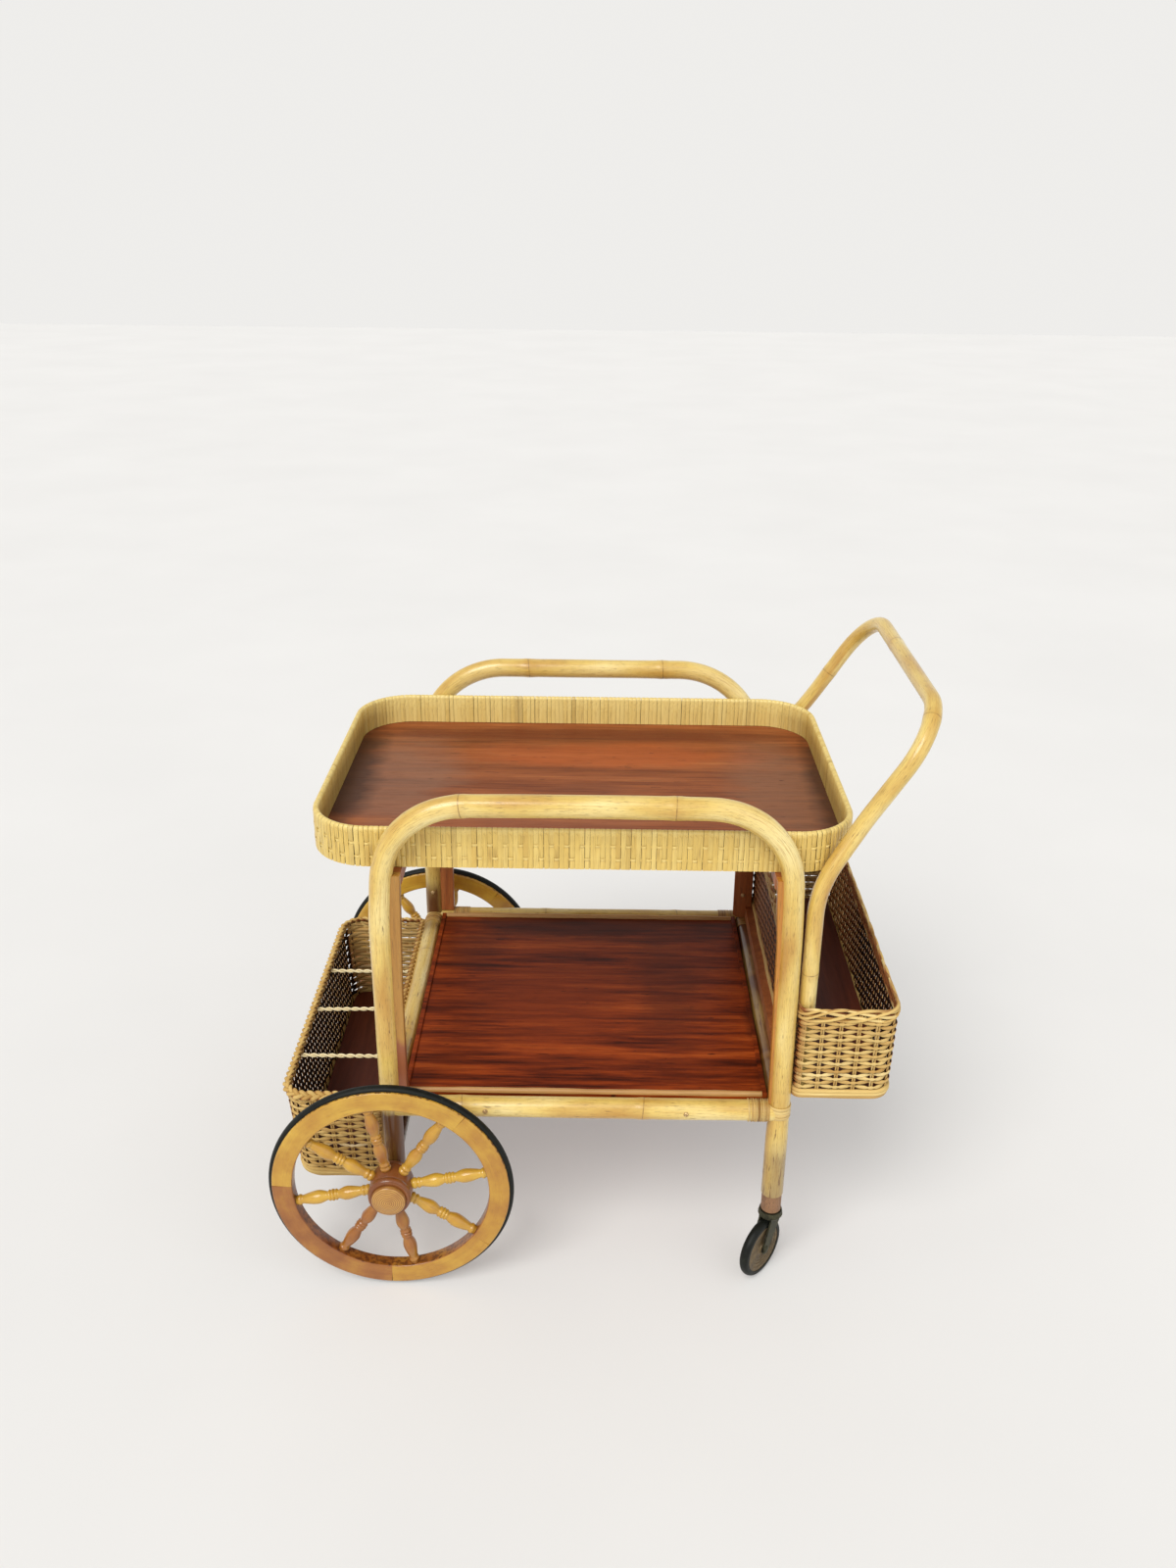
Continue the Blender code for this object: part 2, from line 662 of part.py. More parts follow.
# -------------------------------------------------------------------- casters
HEADING = math.radians(CASTER_HEADING_DEG)
TRAVEL = Vector((math.cos(HEADING), math.sin(HEADING), 0.0))
ACROSS = Vector((-math.sin(HEADING), math.cos(HEADING), 0.0))


def caster(side, sy):
    pivot = Vector((LEG_X, sy * LEG_Y, 0.0))
    hub = pivot + TRAVEL * CASTER_TRAIL + Vector((0.0, 0.0, CASTER_R))

    def upright(a, b, h):
        return (pivot.x + a, pivot.y + b, h)

    def axial(a, b, h):
        return tuple(hub + TRAVEL * a + Vector((0.0, 0.0, b)) + ACROSS * h)

    top = LEG_RIGHT_Z - GAP
    low = CASTER_CAP_Z1 + GAP
    bore = STEM_R / math.cos(math.pi / 20) + RUN_FIT
    cup = [(bore, low), (FERRULE_R - 0.0015, low), (FERRULE_R, low + 0.0015), (FERRULE_R, top), (bore, top)]
    make_object("caster_" + side + "_ferrule", *lathe_mesh(cup, 20, upright), FERRULE, (pivot.x, pivot.y, top))

    body = [
        (0.0, CASTER_CAP_Z0),
        (CASTER_CAP_R - 0.002, CASTER_CAP_Z0),
        (CASTER_CAP_R, CASTER_CAP_Z0 + 0.003),
        (CASTER_CAP_R - 0.0015, CASTER_CAP_Z1),
        (STEM_R, CASTER_CAP_Z1),
        (STEM_R, LEG_RIGHT_Z - 0.002),
        (0.0, LEG_RIGHT_Z - 0.002),
    ]
    fork = make_object("caster_" + side + "_fork", *lathe_mesh(body, 20, upright), CASTER, (pivot.x, pivot.y, CASTER_CAP_Z1))

    inner = CASTER_W / 2 + 0.0015
    drop = CASTER_CAP_Z0 + 0.004 - CASTER_R
    shape = [
        (-CASTER_TRAIL - 0.0120, drop),
        (-CASTER_TRAIL - 0.0120, drop - 0.008),
        (-0.0065, -0.0030),
        (-0.0030, -0.0065),
        (0.0030, -0.0065),
        (0.0065, -0.0030),
        (0.0065, 0.0030),
        (-CASTER_TRAIL + 0.0120, drop - 0.008),
        (-CASTER_TRAIL + 0.0120, drop),
    ]
    for tag, h0 in (("a", -inner - ARM_T), ("b", inner)):
        arm = prism_mesh(shape, axial, h0, h0 + ARM_T)
        boolean(fork, cutter("join_arm_" + tag + "_" + side, *arm), "UNION")
    pin = [(0.0, -inner - ARM_T - 0.0012), (PIN_R, -inner - ARM_T - 0.0012)]
    pin += [(PIN_R, inner + ARM_T + 0.0012), (0.0, inner + ARM_T + 0.0012)]
    boolean(fork, cutter("join_pin_" + side, *lathe_mesh(pin, 12, axial)), "UNION")

    rim_r = CASTER_R - CASTER_TYRE_T
    half = CASTER_W / 2
    disc = [
        (PIN_R + RUN_FIT, -half),
        (0.0080, -half),
        (0.0100, -half + 0.0030),
        (rim_r - 0.0040, -half + 0.0030),
        (rim_r - 0.0020, -half + 0.0010),
        (rim_r, -half + 0.0010),
        (rim_r, half - 0.0010),
        (rim_r - 0.0020, half - 0.0010),
        (rim_r - 0.0040, half - 0.0030),
        (0.0100, half - 0.0030),
        (0.0080, half),
        (PIN_R + RUN_FIT, half),
    ]
    make_object("caster_" + side + "_disc", *lathe_mesh(disc, 24, axial), DISC, tuple(hub))

    t_in = rim_r + GAP
    tyre = [
        (t_in, -half),
        (CASTER_R - 0.0035, -half),
        (CASTER_R, -half * 0.40),
        (CASTER_R, half * 0.40),
        (CASTER_R - 0.0035, half),
        (t_in, half),
    ]
    make_object("caster_" + side + "_tyre", *lathe_mesh(tyre, 28, axial), RUBBER, tuple(hub))


for side, sy in SIDES.items():
    caster(side, sy)
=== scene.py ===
import random
from math import cos, degrees, exp, pi, radians, sin, sqrt

import bpy
import numpy as np
from mathutils import Matrix, Vector


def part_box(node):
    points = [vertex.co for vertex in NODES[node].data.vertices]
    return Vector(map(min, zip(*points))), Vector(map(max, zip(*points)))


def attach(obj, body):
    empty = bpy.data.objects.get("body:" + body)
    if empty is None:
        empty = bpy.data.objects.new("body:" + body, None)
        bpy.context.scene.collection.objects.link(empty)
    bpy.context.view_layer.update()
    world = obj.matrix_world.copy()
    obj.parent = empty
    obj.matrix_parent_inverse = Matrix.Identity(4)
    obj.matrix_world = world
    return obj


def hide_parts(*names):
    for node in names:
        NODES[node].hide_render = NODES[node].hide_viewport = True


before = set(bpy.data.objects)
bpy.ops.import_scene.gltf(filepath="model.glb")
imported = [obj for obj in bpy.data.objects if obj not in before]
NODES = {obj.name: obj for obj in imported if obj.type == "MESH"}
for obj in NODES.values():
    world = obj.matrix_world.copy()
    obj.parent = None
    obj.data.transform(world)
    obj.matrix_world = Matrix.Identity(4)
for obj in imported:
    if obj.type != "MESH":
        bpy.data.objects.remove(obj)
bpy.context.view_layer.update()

SHIFT = -0.006            # the cart's own middle line in the frame
POLE_R = 0.0143
LEFT_FOOT, RIGHT_FOOT = 0.1465, 0.1275      # heights where the legs end
LEG_X = 0.2585
LEG_Y = 0.2535
RAIL_Z = 0.264
HANDLE_R = 0.0109
WHEEL_R = 0.1638
CASTER_R = 0.0425
HOOP_BEND = {"near": 0.111, "far": 0.124}
WHEEL_OUT = {"near": 0.0, "far": 0.007}   # the far wheel stands further out


# ------------------------------------------------------------------ helpers
def srgb(r, g, b):
    """Colour from 0-255 display values to linear."""
    out = []
    for c in (r, g, b):
        c = c / 255.0
        out.append(c / 12.92 if c <= 0.04045 else ((c + 0.055) / 1.055) ** 2.4)
    return (*out, 1.0)


def link(obj):
    bpy.context.scene.collection.objects.link(obj)


class Builder:
    """Collects surfaces into one mesh with UVs and three values per vertex."""

    def __init__(self):
        self.verts = []
        self.faces = []
        self.uvs = []
        self.values = {"tint": [], "mark": [], "wear_and_shade": []}
        self.count = 0

    def add(self, verts, faces, uvs, tint=0.5, mark=1.0, wear_and_shade=0.0):
        verts = np.asarray(verts, float)
        self.faces += [tuple(int(i) + self.count for i in f) for f in faces]
        self.uvs.extend(uvs)
        self.verts.append(verts)
        for key, value in (("tint", tint), ("mark", mark), ("wear_and_shade", wear_and_shade)):
            self.values[key].append(np.broadcast_to(np.asarray(value, float), (len(verts),)))
        self.count += len(verts)

    def make(self, name, mat, body, slot, stands_for=(), origin=(0, 0, 0), sharp=None):
        base = np.asarray(origin, float)
        mesh = bpy.data.meshes.new(name)
        mesh.from_pydata((np.concatenate(self.verts) - base).tolist(), [], self.faces)
        layer = mesh.uv_layers.new(name="UVMap")
        layer.data.foreach_set("uv", np.asarray(self.uvs, np.float32).ravel())
        for key, chunks in self.values.items():
            layer = mesh.attributes.new(key, "FLOAT", "POINT")
            layer.data.foreach_set("value", np.concatenate(chunks).astype(np.float32))
        mesh.update()
        mesh.polygons.foreach_set("use_smooth", [True] * len(mesh.polygons))
        if sharp is not None:
            mesh.set_sharp_from_angle(angle=radians(sharp))
        mesh.materials.append(mat)
        obj = bpy.data.objects.new(name, mesh)
        obj.location = base
        link(obj)
        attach(obj, body)
        if stands_for:
            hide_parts(*stands_for)


def arc_length(pts):
    return np.concatenate([[0.0], np.cumsum(np.linalg.norm(np.diff(pts, axis=0), axis=1))])


def tangents(pts, closed):
    t = np.roll(pts, -1, 0) - np.roll(pts, 1, 0) if closed else np.gradient(pts, axis=0)
    return t / np.linalg.norm(t, axis=1)[:, None]


def square_to(tan, nor):
    """The part of each normal at right angles to the path."""
    nor = nor - tan * np.sum(nor * tan, 1)[:, None]
    return nor / np.linalg.norm(nor, axis=1)[:, None]


def transport(tan, first):
    """Normals carried along the path without twisting."""
    out = np.empty_like(tan)
    n = np.asarray(first, float)
    for i, t in enumerate(tan):
        n = n - t * n.dot(t)
        n = n / np.linalg.norm(n)
        out[i] = n
    return out


def quads(rings, size, closed, u, v):
    """Faces and UVs between equal rings: u goes round a ring, v from ring to ring."""
    faces = []
    uvs = []
    for i in range(rings if closed else rings - 1):
        j = (i + 1) % rings
        for k in range(size):
            q = (k + 1) % size
            faces.append((i * size + k, i * size + q, j * size + q, j * size + k))
            uvs += [(u[k], v[i]), (u[k + 1], v[i]), (u[k + 1], v[i + 1]), (u[k], v[i + 1])]
    return faces, uvs


def sweep(b, pts, section, normals=None, first=(0, 1, 0), scale=1.0, closed=False, tint=0.5, mark=1.0,
          wear_and_shade=0.0, radial=1.0):
    """Sweeps a closed section [(a along normal, c along binormal)] along pts."""
    pts = np.asarray(pts, float)
    sec = np.asarray(section, float)
    n, m = len(pts), len(sec)
    tan = tangents(pts, closed)
    nor = square_to(tan, transport(tan, first) if normals is None else np.asarray(normals, float))
    bi = np.cross(tan, nor)
    size = np.broadcast_to(np.asarray(scale, float), (n,))[:, None] * radial
    a = sec[None, :, 0] * size
    c = sec[None, :, 1] * size
    verts = pts[:, None, :] + a[..., None] * nor[:, None, :] + c[..., None] * bi[:, None, :]
    run = arc_length(np.vstack([sec, sec[:1]]))
    s = arc_length(np.vstack([pts, pts[:1]]) if closed else pts)
    faces, uvs = quads(n, m, closed, run, s)
    if not closed:
        faces.append(tuple(range(m - 1, -1, -1)))
        faces.append(tuple((n - 1) * m + k for k in range(m)))
        uvs += [tuple(p) for p in sec[::-1]] + [tuple(p) for p in sec]
    if np.ndim(tint) == 1 and len(tint) == n:
        tint = np.repeat(tint, m)
    if np.ndim(wear_and_shade) == 1 and len(wear_and_shade) == n:
        wear_and_shade = np.repeat(wear_and_shade, m)
    b.add(verts.reshape(-1, 3), faces, uvs, tint, mark, wear_and_shade)


def circle(r, sides, squash=1.0):
    a = np.arange(sides) * 2 * pi / sides
    return np.stack([np.cos(a) * r, np.sin(a) * r * squash], 1)


def flat_section(width, thick, soft=0.35):
    """Flat cane: width along the binormal, thickness along the normal, eased edges."""
    w, t = width / 2, thick / 2
    e = soft * thick
    top = [(0.2 * t, -w), (t, -w + 2.2 * e), (t * 1.12, 0.0), (t, w - 2.2 * e), (0.2 * t, w)]
    return [(-t, -w + e), *top, (-t, w - e)]


def eased_box(x0, x1, y0, y1, e):
    """Rectangle whose corners are small arcs."""
    out = []
    centres = (x1 - e, y1 - e), (x0 + e, y1 - e), (x0 + e, y0 + e), (x1 - e, y0 + e)
    for (cx, cy), start in zip(centres, (0, 90, 180, 270)):
        for k in range(4):
            a = radians(start + 30 * k)
            out.append((cx + e * cos(a), cy + e * sin(a)))
    return out


def turned(b, profile, segs, place, tint=0.5, wear_and_shade=0.0):
    """Outline [(r, h)] turned about an axis; place(cos, sin, r, h) gives the point."""
    prof = np.asarray(profile, float)
    s = arc_length(prof)
    ang = np.arange(segs) * 2 * pi / segs
    around = np.arange(segs + 1) / segs * 2 * pi * float(np.mean(prof[:, 0]))
    verts = []
    rings = []
    for r, h in prof:
        if r < 1e-7:
            rings.append([len(verts)] * segs)
            verts.append(place(1.0, 0.0, 0.0, h))
        else:
            rings.append(range(len(verts), len(verts) + segs))
            verts += [place(cos(t), sin(t), r, h) for t in ang]
    faces = []
    uvs = []
    for i in range(len(prof) - 1):
        p, q = rings[i], rings[i + 1]
        for k in range(segs):
            n = (k + 1) % segs
            loop = [(p[k], around[k], s[i]), (p[n], around[k + 1], s[i])][:1 if p[k] == p[n] else 2]
            loop += [(q[n], around[k + 1], s[i + 1]), (q[k], around[k], s[i + 1])][1 if q[k] == q[n] else 0:]
            if len(loop) > 2:
                faces.append(tuple(c[0] for c in loop))
                uvs += [c[1:] for c in loop]
    b.add(verts, faces, uvs, tint, 1.0, wear_and_shade)


def clip01(v):
    return min(1.0, max(0.0, v))


def resample(points, step):
    pts = np.asarray(points, float)
    s = arc_length(pts)
    q = np.linspace(0, s[-1], max(2, int(round(s[-1] / step)) + 1))
    return np.stack([np.interp(q, s, pts[:, i]) for i in range(3)], 1)


def rounded_path(points, cuts):
    """Polyline whose inner corners become arcs that start `cut` before the corner."""
    pts = [Vector(p) for p in points]
    out = [pts[0]]
    for at, u, w, cut in zip(pts[1:-1], pts, pts[2:], cuts):
        u = (u - at).normalized()
        w = (w - at).normalized()
        centre = at + (u + w).normalized() * (cut / cos(u.angle(w) / 2))
        a = at + u * cut - centre
        c = at + w * cut - centre
        whole = a.angle(c)
        for k in range(17):
            t = k / 16
            out.append(centre + (a * sin((1 - t) * whole) + c * sin(t * whole)) / sin(whole))
    return [tuple(p) for p in out + [pts[-1]]]


class Outline:
    """Closed rounded rectangle measured by arc length, with outward normals."""

    def __init__(self, x0, x1, y0, y1, r, q):
        pts = []
        nor = []
        centres = (x1 - r, y1 - r, r), (x0 + q, y1 - q, q), (x0 + q, y0 + q, q), (x1 - r, y0 + r, r)
        for (cx, cy, rad), start in zip(centres, (0, 90, 180, 270)):
            for k in range(41):
                a = radians(start + 90.0 * k / 40)
                pts.append((cx + rad * cos(a), cy + rad * sin(a)))
                nor.append((cos(a), sin(a)))
        self.pts = np.asarray(pts + pts[:1])
        self.nor = np.asarray(nor + nor[:1])
        self.s = arc_length(self.pts)
        self.length = self.s[-1]

    def at(self, frac, offset=0.0):
        q = (np.asarray(frac, float) % 1.0) * self.length
        p = np.stack([np.interp(q, self.s, self.pts[:, i]) for i in (0, 1)], -1)
        n = np.stack([np.interp(q, self.s, self.nor[:, i]) for i in (0, 1)], -1)
        n = n / np.linalg.norm(n, axis=-1)[..., None]
        return p + n * np.asarray(offset, float)[..., None], n


def flat3(nor):
    """Level normals as 3-D ones."""
    return np.column_stack([nor, np.zeros(len(nor))])


# ---------------------------------------------------------------- materials
class Nodes:
    """Short way to write a node tree; a colour is three display values."""

    def __init__(self, name):
        self.mat = bpy.data.materials.new(name)
        self.mat.use_nodes = True
        self.tree = self.mat.node_tree
        self.bsdf = self.tree.nodes["Principled BSDF"]

    def node(self, kind, **values):
        n = self.tree.nodes.new(kind)
        for key, value in values.items():
            setattr(n, key, value)
        return n

    def link(self, a, b):
        self.tree.links.new(a, b)

    def put(self, socket, value):
        if isinstance(value, bpy.types.NodeSocket):
            self.link(value, socket)
        else:
            socket.default_value = srgb(*value) if isinstance(value, tuple) else value

    def fill(self, node, values, out=0):
        """Sets a node's inputs by name or number and gives one of its outputs."""
        for key, value in values.items():
            self.put(node.inputs[key], value)
        return node.outputs[out]

    def coords(self, kind):
        return self.node("ShaderNodeTexCoord").outputs[kind]

    def attribute(self, name):
        return self.node("ShaderNodeAttribute", attribute_name=name).outputs["Fac"]

    def noise(self, kind, scale, detail=3.0, rough=0.55, shift=None):
        mapping = self.node("ShaderNodeMapping")
        mapping.inputs["Scale"].default_value = scale
        vector = self.fill(mapping, {"Vector": self.coords(kind)})
        if shift is not None:
            away = self.fill(self.node("ShaderNodeCombineXYZ"), {0: shift, 2: shift})
            vector = self.fill(self.node("ShaderNodeVectorMath", operation="ADD"), {0: vector, 1: away})
        n = self.node("ShaderNodeTexNoise")
        return self.fill(n, {"Vector": vector, "Scale": 1.0, "Detail": detail, "Roughness": rough}, "Fac")

    def math(self, op, a, b=0.0, clamp=False):
        return self.fill(self.node("ShaderNodeMath", operation=op, use_clamp=clamp), {0: a, 1: b})

    def mul(self, a, b, clamp=False):
        return self.math("MULTIPLY", a, b, clamp)

    def add(self, a, b, clamp=False):
        return self.math("ADD", a, b, clamp)

    def sub(self, a, b, clamp=False):
        return self.math("SUBTRACT", a, b, clamp)

    def far(self, x, y):
        """Distance from the origin."""
        return self.math("SQRT", self.add(self.mul(x, x), self.mul(y, y)))

    def place(self):
        return self.fill(self.node("ShaderNodeSeparateXYZ"), {0: self.coords("Object")}).node.outputs

    def span(self, value, lo, hi, to_lo=0.0, to_hi=1.0):
        ends = {"From Min": lo, "From Max": hi, "To Min": to_lo, "To Max": to_hi}
        return self.fill(self.node("ShaderNodeMapRange"), {"Value": value, **ends})

    def ramp(self, value, stops):
        n = self.node("ShaderNodeValToRGB")
        elements = n.color_ramp.elements
        while len(elements) < len(stops):
            elements.new(0.5)
        for e, (pos, *colour) in zip(elements, stops):
            e.position = pos
            e.color = srgb(*colour)
        return self.fill(n, {0: value})

    def mix(self, fac, a, b):
        return self.fill(self.node("ShaderNodeMix", data_type="RGBA"), {0: fac, 6: a, 7: b}, 2)

    def finish(self, colour, rough, bump=None, strength=0.3, distance=0.001, coat=0.0, coat_rough=0.1,
               metallic=0.0, specular=0.5):
        self.fill(self.bsdf, {
            "Base Color": colour, "Roughness": rough, "Metallic": metallic, "Specular IOR Level": specular,
            "Coat Weight": coat, "Coat Roughness": coat_rough,
        })
        if bump is not None:
            n = self.node("ShaderNodeBump")
            normal = self.fill(n, {"Strength": strength, "Distance": distance, "Height": bump})
            self.link(normal, self.bsdf.inputs["Normal"])
        return self.mat


def rattan_material():
    """Lacquered pole: fibres along the length, flecks, darker scar at each node."""
    pale, mid, deep, dark = (238, 218, 150), (220, 189, 102), (186, 138, 58), (96, 56, 20)
    k = Nodes("rattan_pole")
    wear_and_shade = k.attribute("wear_and_shade")
    fibre = k.noise("UV", (620.0, 13.0, 1.0), 4.0, 0.6)
    fleck = k.noise("UV", (230.0, 26.0, 1.0), 3.0, 0.65)
    broad = k.noise("UV", (24.0, 5.5, 1.0), 2.0, 0.5)
    hair = k.noise("UV", (1400.0, 70.0, 1.0), 2.0, 0.6)
    base = k.ramp(broad, [(0.30, *deep), (0.47, *mid), (0.66, *pale)])
    col = k.mix(k.mul(k.span(fibre, 0.48, 0.70), 0.60), base, deep)
    col = k.mix(k.span(hair, 0.57, 0.70, 0.0, 0.60), col, dark)
    limit = k.sub(0.650, k.mul(wear_and_shade, 0.10))
    spot = k.mul(k.sub(fleck, limit), 14.0, clamp=True)
    col = k.mix(k.mul(spot, 0.75), col, dark)
    # Painted shade darkens the far legs and the right cross rail here; the same mix also darkens the lower
    # near legs and the near end of the left rail.
    patch = k.mul(wear_and_shade, k.span(broad, 0.35, 0.65, 0.15, 0.75))
    col = k.mix(k.add(patch, k.mul(k.sub(wear_and_shade, 0.6, clamp=True), 0.7), clamp=True), col, dark)
    near = k.math("ABSOLUTE", k.attribute("mark"))
    col = k.mix(k.span(near, 0.0, 0.010, 0.30, 0.0), col, deep)
    ring = k.span(near, 0.0002, 0.0010, 0.70, 0.0)
    ring = k.mul(ring, k.span(k.noise("UV", (138.0, 15.6, 0.6)), 0.35, 0.6, 0.35, 1.0))
    col = k.mix(ring, col, dark)
    height = k.sub(k.mul(fibre, 0.6), spot)
    rough = k.span(fibre, 0.2, 0.8, 0.26, 0.44)
    return k.finish(col, rough, height, 0.22, 0.0004, coat=0.45, coat_rough=0.16)


def cane_material(name, stops, dark, rough=0.42, fleck=0.5, brown=None, coat=0.12, specular=0.5):
    """Split cane or reed: a colour for each strand, fine fibres along it."""
    k = Nodes(name)
    tint = k.attribute("tint")
    wear_and_shade = k.attribute("wear_and_shade")
    shift = k.mul(tint, 37.0)
    fibre = k.noise("UV", (900.0, 30.0, 1.0), 3.0, 0.6, shift)
    cloud = k.noise("UV", (60.0, 22.0, 1.0), 2.0, 0.5, shift)
    col = k.ramp(k.add(k.mul(tint, 0.72), k.mul(cloud, 0.28)), stops)
    col = k.mix(k.mul(k.span(fibre, 0.52, 0.75), fleck), col, dark)
    # Mixing towards `brown` and then `dark` paints shade inside the tray walls and the baskets, and marks a
    # few stained strands.
    if brown is not None:
        col = k.mix(k.span(wear_and_shade, 0.0, 0.55), col, brown)
        wear_and_shade = k.span(wear_and_shade, 0.50, 0.95)
    col = k.mix(wear_and_shade, col, dark)
    return k.finish(col, rough, fibre, 0.25, 0.0003, coat=coat, coat_rough=0.3, specular=specular)


def wood_material(name, stops, dark, stretch, pore=0.5, rough=(0.36, 0.5), coat=0.15, specular=0.5,
                  low=None, zones=()):
    """Grain stretched along one axis, pores, slow bands; `zones` are soft ovals of another colour, on the
    tray floor partly painted shade and painted reflection.
    """
    k = Nodes(name)
    wear_and_shade = k.attribute("wear_and_shade")
    shift = k.mul(k.attribute("tint"), 11.0)
    band = k.noise("Object", stretch, 4.0, 0.6, shift)
    fine = k.noise("Object", [9.0 * v for v in stretch], 3.0, 0.7, shift)
    vein = k.noise("Object", [3.2 * v for v in stretch], 3.0, 0.6, shift)
    col = k.ramp(k.add(k.add(k.mul(band, 0.48), k.mul(fine, 0.22)), k.mul(vein, 0.30)), stops)
    pores = k.mul(k.span(fine, 0.54, 0.70), pore)
    col = k.mix(pores, col, dark)
    col = k.mix(k.mul(k.span(vein, 0.60, 0.72), pore), col, dark)
    if zones:
        at = k.place()
        blot = k.noise("Object", (9.0, 22.0, 9.0), 4.0, 0.6)
        for x, y, rx, ry, colour, amount in zones:
            away = k.far(k.math("DIVIDE", k.sub(at[0], x + SHIFT), rx), k.math("DIVIDE", k.sub(at[1], y), ry))
            away = k.add(away, k.span(blot, 0.3, 0.7, -0.35, 0.35))
            col = k.mix(k.span(away, 1.25, 0.55, 0.0, amount), col, k.mix(pores, colour, dark))
        nick = k.noise("Object", (30.0, 190.0, 30.0), 2.0, 0.5)
        col = k.mix(k.span(nick, 0.715, 0.735, 0.0, 0.8), col, dark)
    col = k.mix(wear_and_shade, col, dark)
    if low is not None:
        height, deep, pale = low
        level = k.add(k.place()[2], k.span(band, 0.3, 0.7, -0.006, 0.006))
        col = k.mix(k.span(level, height + 0.006, height - 0.006), col, k.mix(band, deep, pale))
    return k.finish(col, k.span(fine, 0.3, 0.7, *rough), fine, 0.12, 0.0004, coat=coat, coat_rough=0.16,
                    specular=specular)


POLE = rattan_material()
CANE = cane_material(
    "woven_cane", [(0.10, 150, 104, 44), (0.30, 194, 154, 72), (0.55, 216, 184, 98), (0.85, 234, 210, 132)],
    (104, 66, 28),
)
# The `brown` and near-black `dark` colours paint shade on the baskets' frame-side and inner walls, with some
# real staining.
REED = cane_material(
    "basket_reed",
    [(0.10, 156, 114, 58), (0.35, 196, 158, 90), (0.6, 220, 190, 120), (0.85, 240, 218, 156),
     (1.0, 255, 250, 232)],
    (26, 13, 8), rough=0.55, fleck=0.32, brown=(140, 84, 46), coat=0.0, specular=0.12,
)
BINDING = cane_material(
    "binding_cane", [(0.1, 150, 104, 50), (0.5, 194, 152, 80), (0.9, 226, 198, 128)], (76, 44, 20),
)
CORD = cane_material(
    "pale_cord", [(0.1, 206, 180, 124), (0.5, 226, 204, 150), (0.9, 240, 224, 178)], (110, 76, 40), fleck=0.3,
)
TEAK = wood_material(
    "teak_shelf", [(0.38, 64, 20, 5), (0.46, 114, 42, 12), (0.53, 150, 62, 18), (0.62, 186, 88, 32)],
    (44, 14, 6), (3.0, 46.0, 46.0), coat=0.0, specular=0.09,
    zones=(
        (0.0, 0.205, 0.30, 0.045, (66, 28, 14), 0.70), (0.262, 0.0, 0.026, 0.30, (52, 22, 12), 0.75),
        (-0.05, -0.02, 0.10, 0.12, (136, 54, 18), 0.45), (0.12, 0.02, 0.05, 0.16, (84, 32, 14), 0.50),
        (-0.19, 0.13, 0.06, 0.07, (72, 30, 16), 0.50),
    ),
)
TRAY_WOOD = wood_material(
    "teak_tray", [(0.37, 92, 40, 18), (0.46, 126, 64, 30), (0.54, 148, 80, 40), (0.63, 176, 106, 58)],
    (64, 28, 14), (2.6, 52.0, 52.0), coat=0.04, specular=0.18,
    zones=(
        # The greyish ovals near both ends are painted reflection; the dark ovals against the left and right
        # walls are painted shade.
        (-0.27, 0.0, 0.090, 0.16, (138, 98, 74), 0.60), (0.27, -0.02, 0.080, 0.17, (128, 88, 60), 0.60),
        (-0.05, -0.10, 0.22, 0.05, (150, 92, 62), 0.40), (0.02, 0.105, 0.20, 0.050, (176, 84, 32), 0.62),
        (0.0, 0.185, 0.34, 0.026, (104, 40, 18), 0.75), (-0.335, 0.0, 0.035, 0.22, (58, 32, 18), 0.80),
        (0.335, 0.0, 0.030, 0.22, (58, 32, 18), 0.80), (0.0, -0.02, 0.06, 0.02, (120, 66, 40), 0.35),
    ),
)
FLOOR_WOOD = wood_material(
    "basket_board", [(0.30, 62, 24, 12), (0.5, 92, 40, 22), (0.7, 118, 58, 34)], (30, 12, 6),
    (46.0, 3.0, 46.0), pore=0.4, rough=(0.4, 0.55), coat=0.05, specular=0.25,
)
UPRIGHT = (70.0, 70.0, 4.0)
POST_WOOD = wood_material(
    "brown_wood", [(0.30, 116, 60, 26), (0.5, 158, 88, 42), (0.72, 192, 120, 62)], (48, 22, 10), UPRIGHT,
    pore=0.55, rough=(0.38, 0.55), coat=0.1,
)
ORANGE_POST = wood_material(
    "orange_post", [(0.30, 148, 88, 26), (0.5, 184, 120, 42), (0.72, 206, 146, 62)], (86, 44, 14), UPRIGHT,
)
LEFT_POST = wood_material(
    "two_tone_post", [(0.30, 132, 88, 34), (0.5, 168, 120, 52), (0.72, 190, 146, 72)], (70, 38, 14), UPRIGHT,
    low=(0.372, (112, 60, 34), (160, 96, 62)),
)
TRIM_WOOD = wood_material(
    "trim_wood", [(0.3, 150, 104, 54), (0.5, 184, 138, 78), (0.72, 210, 170, 108)], (110, 70, 34),
    (5.0, 120.0, 120.0), pore=0.35, rough=(0.35, 0.5),
)
CORE = wood_material(
    "dark_core", [(0.3, 60, 36, 16), (0.7, 96, 60, 28)], (30, 16, 8), (60.0, 60.0, 6.0),
    rough=(0.6, 0.8), coat=0.0,
)
BARK = wood_material(
    "ferrule_bark", [(0.3, 104, 72, 48), (0.5, 136, 98, 66), (0.72, 160, 118, 82)], (60, 38, 24),
    (90.0, 90.0, 30.0), pore=0.6, rough=(0.45, 0.65), coat=0.05,
)


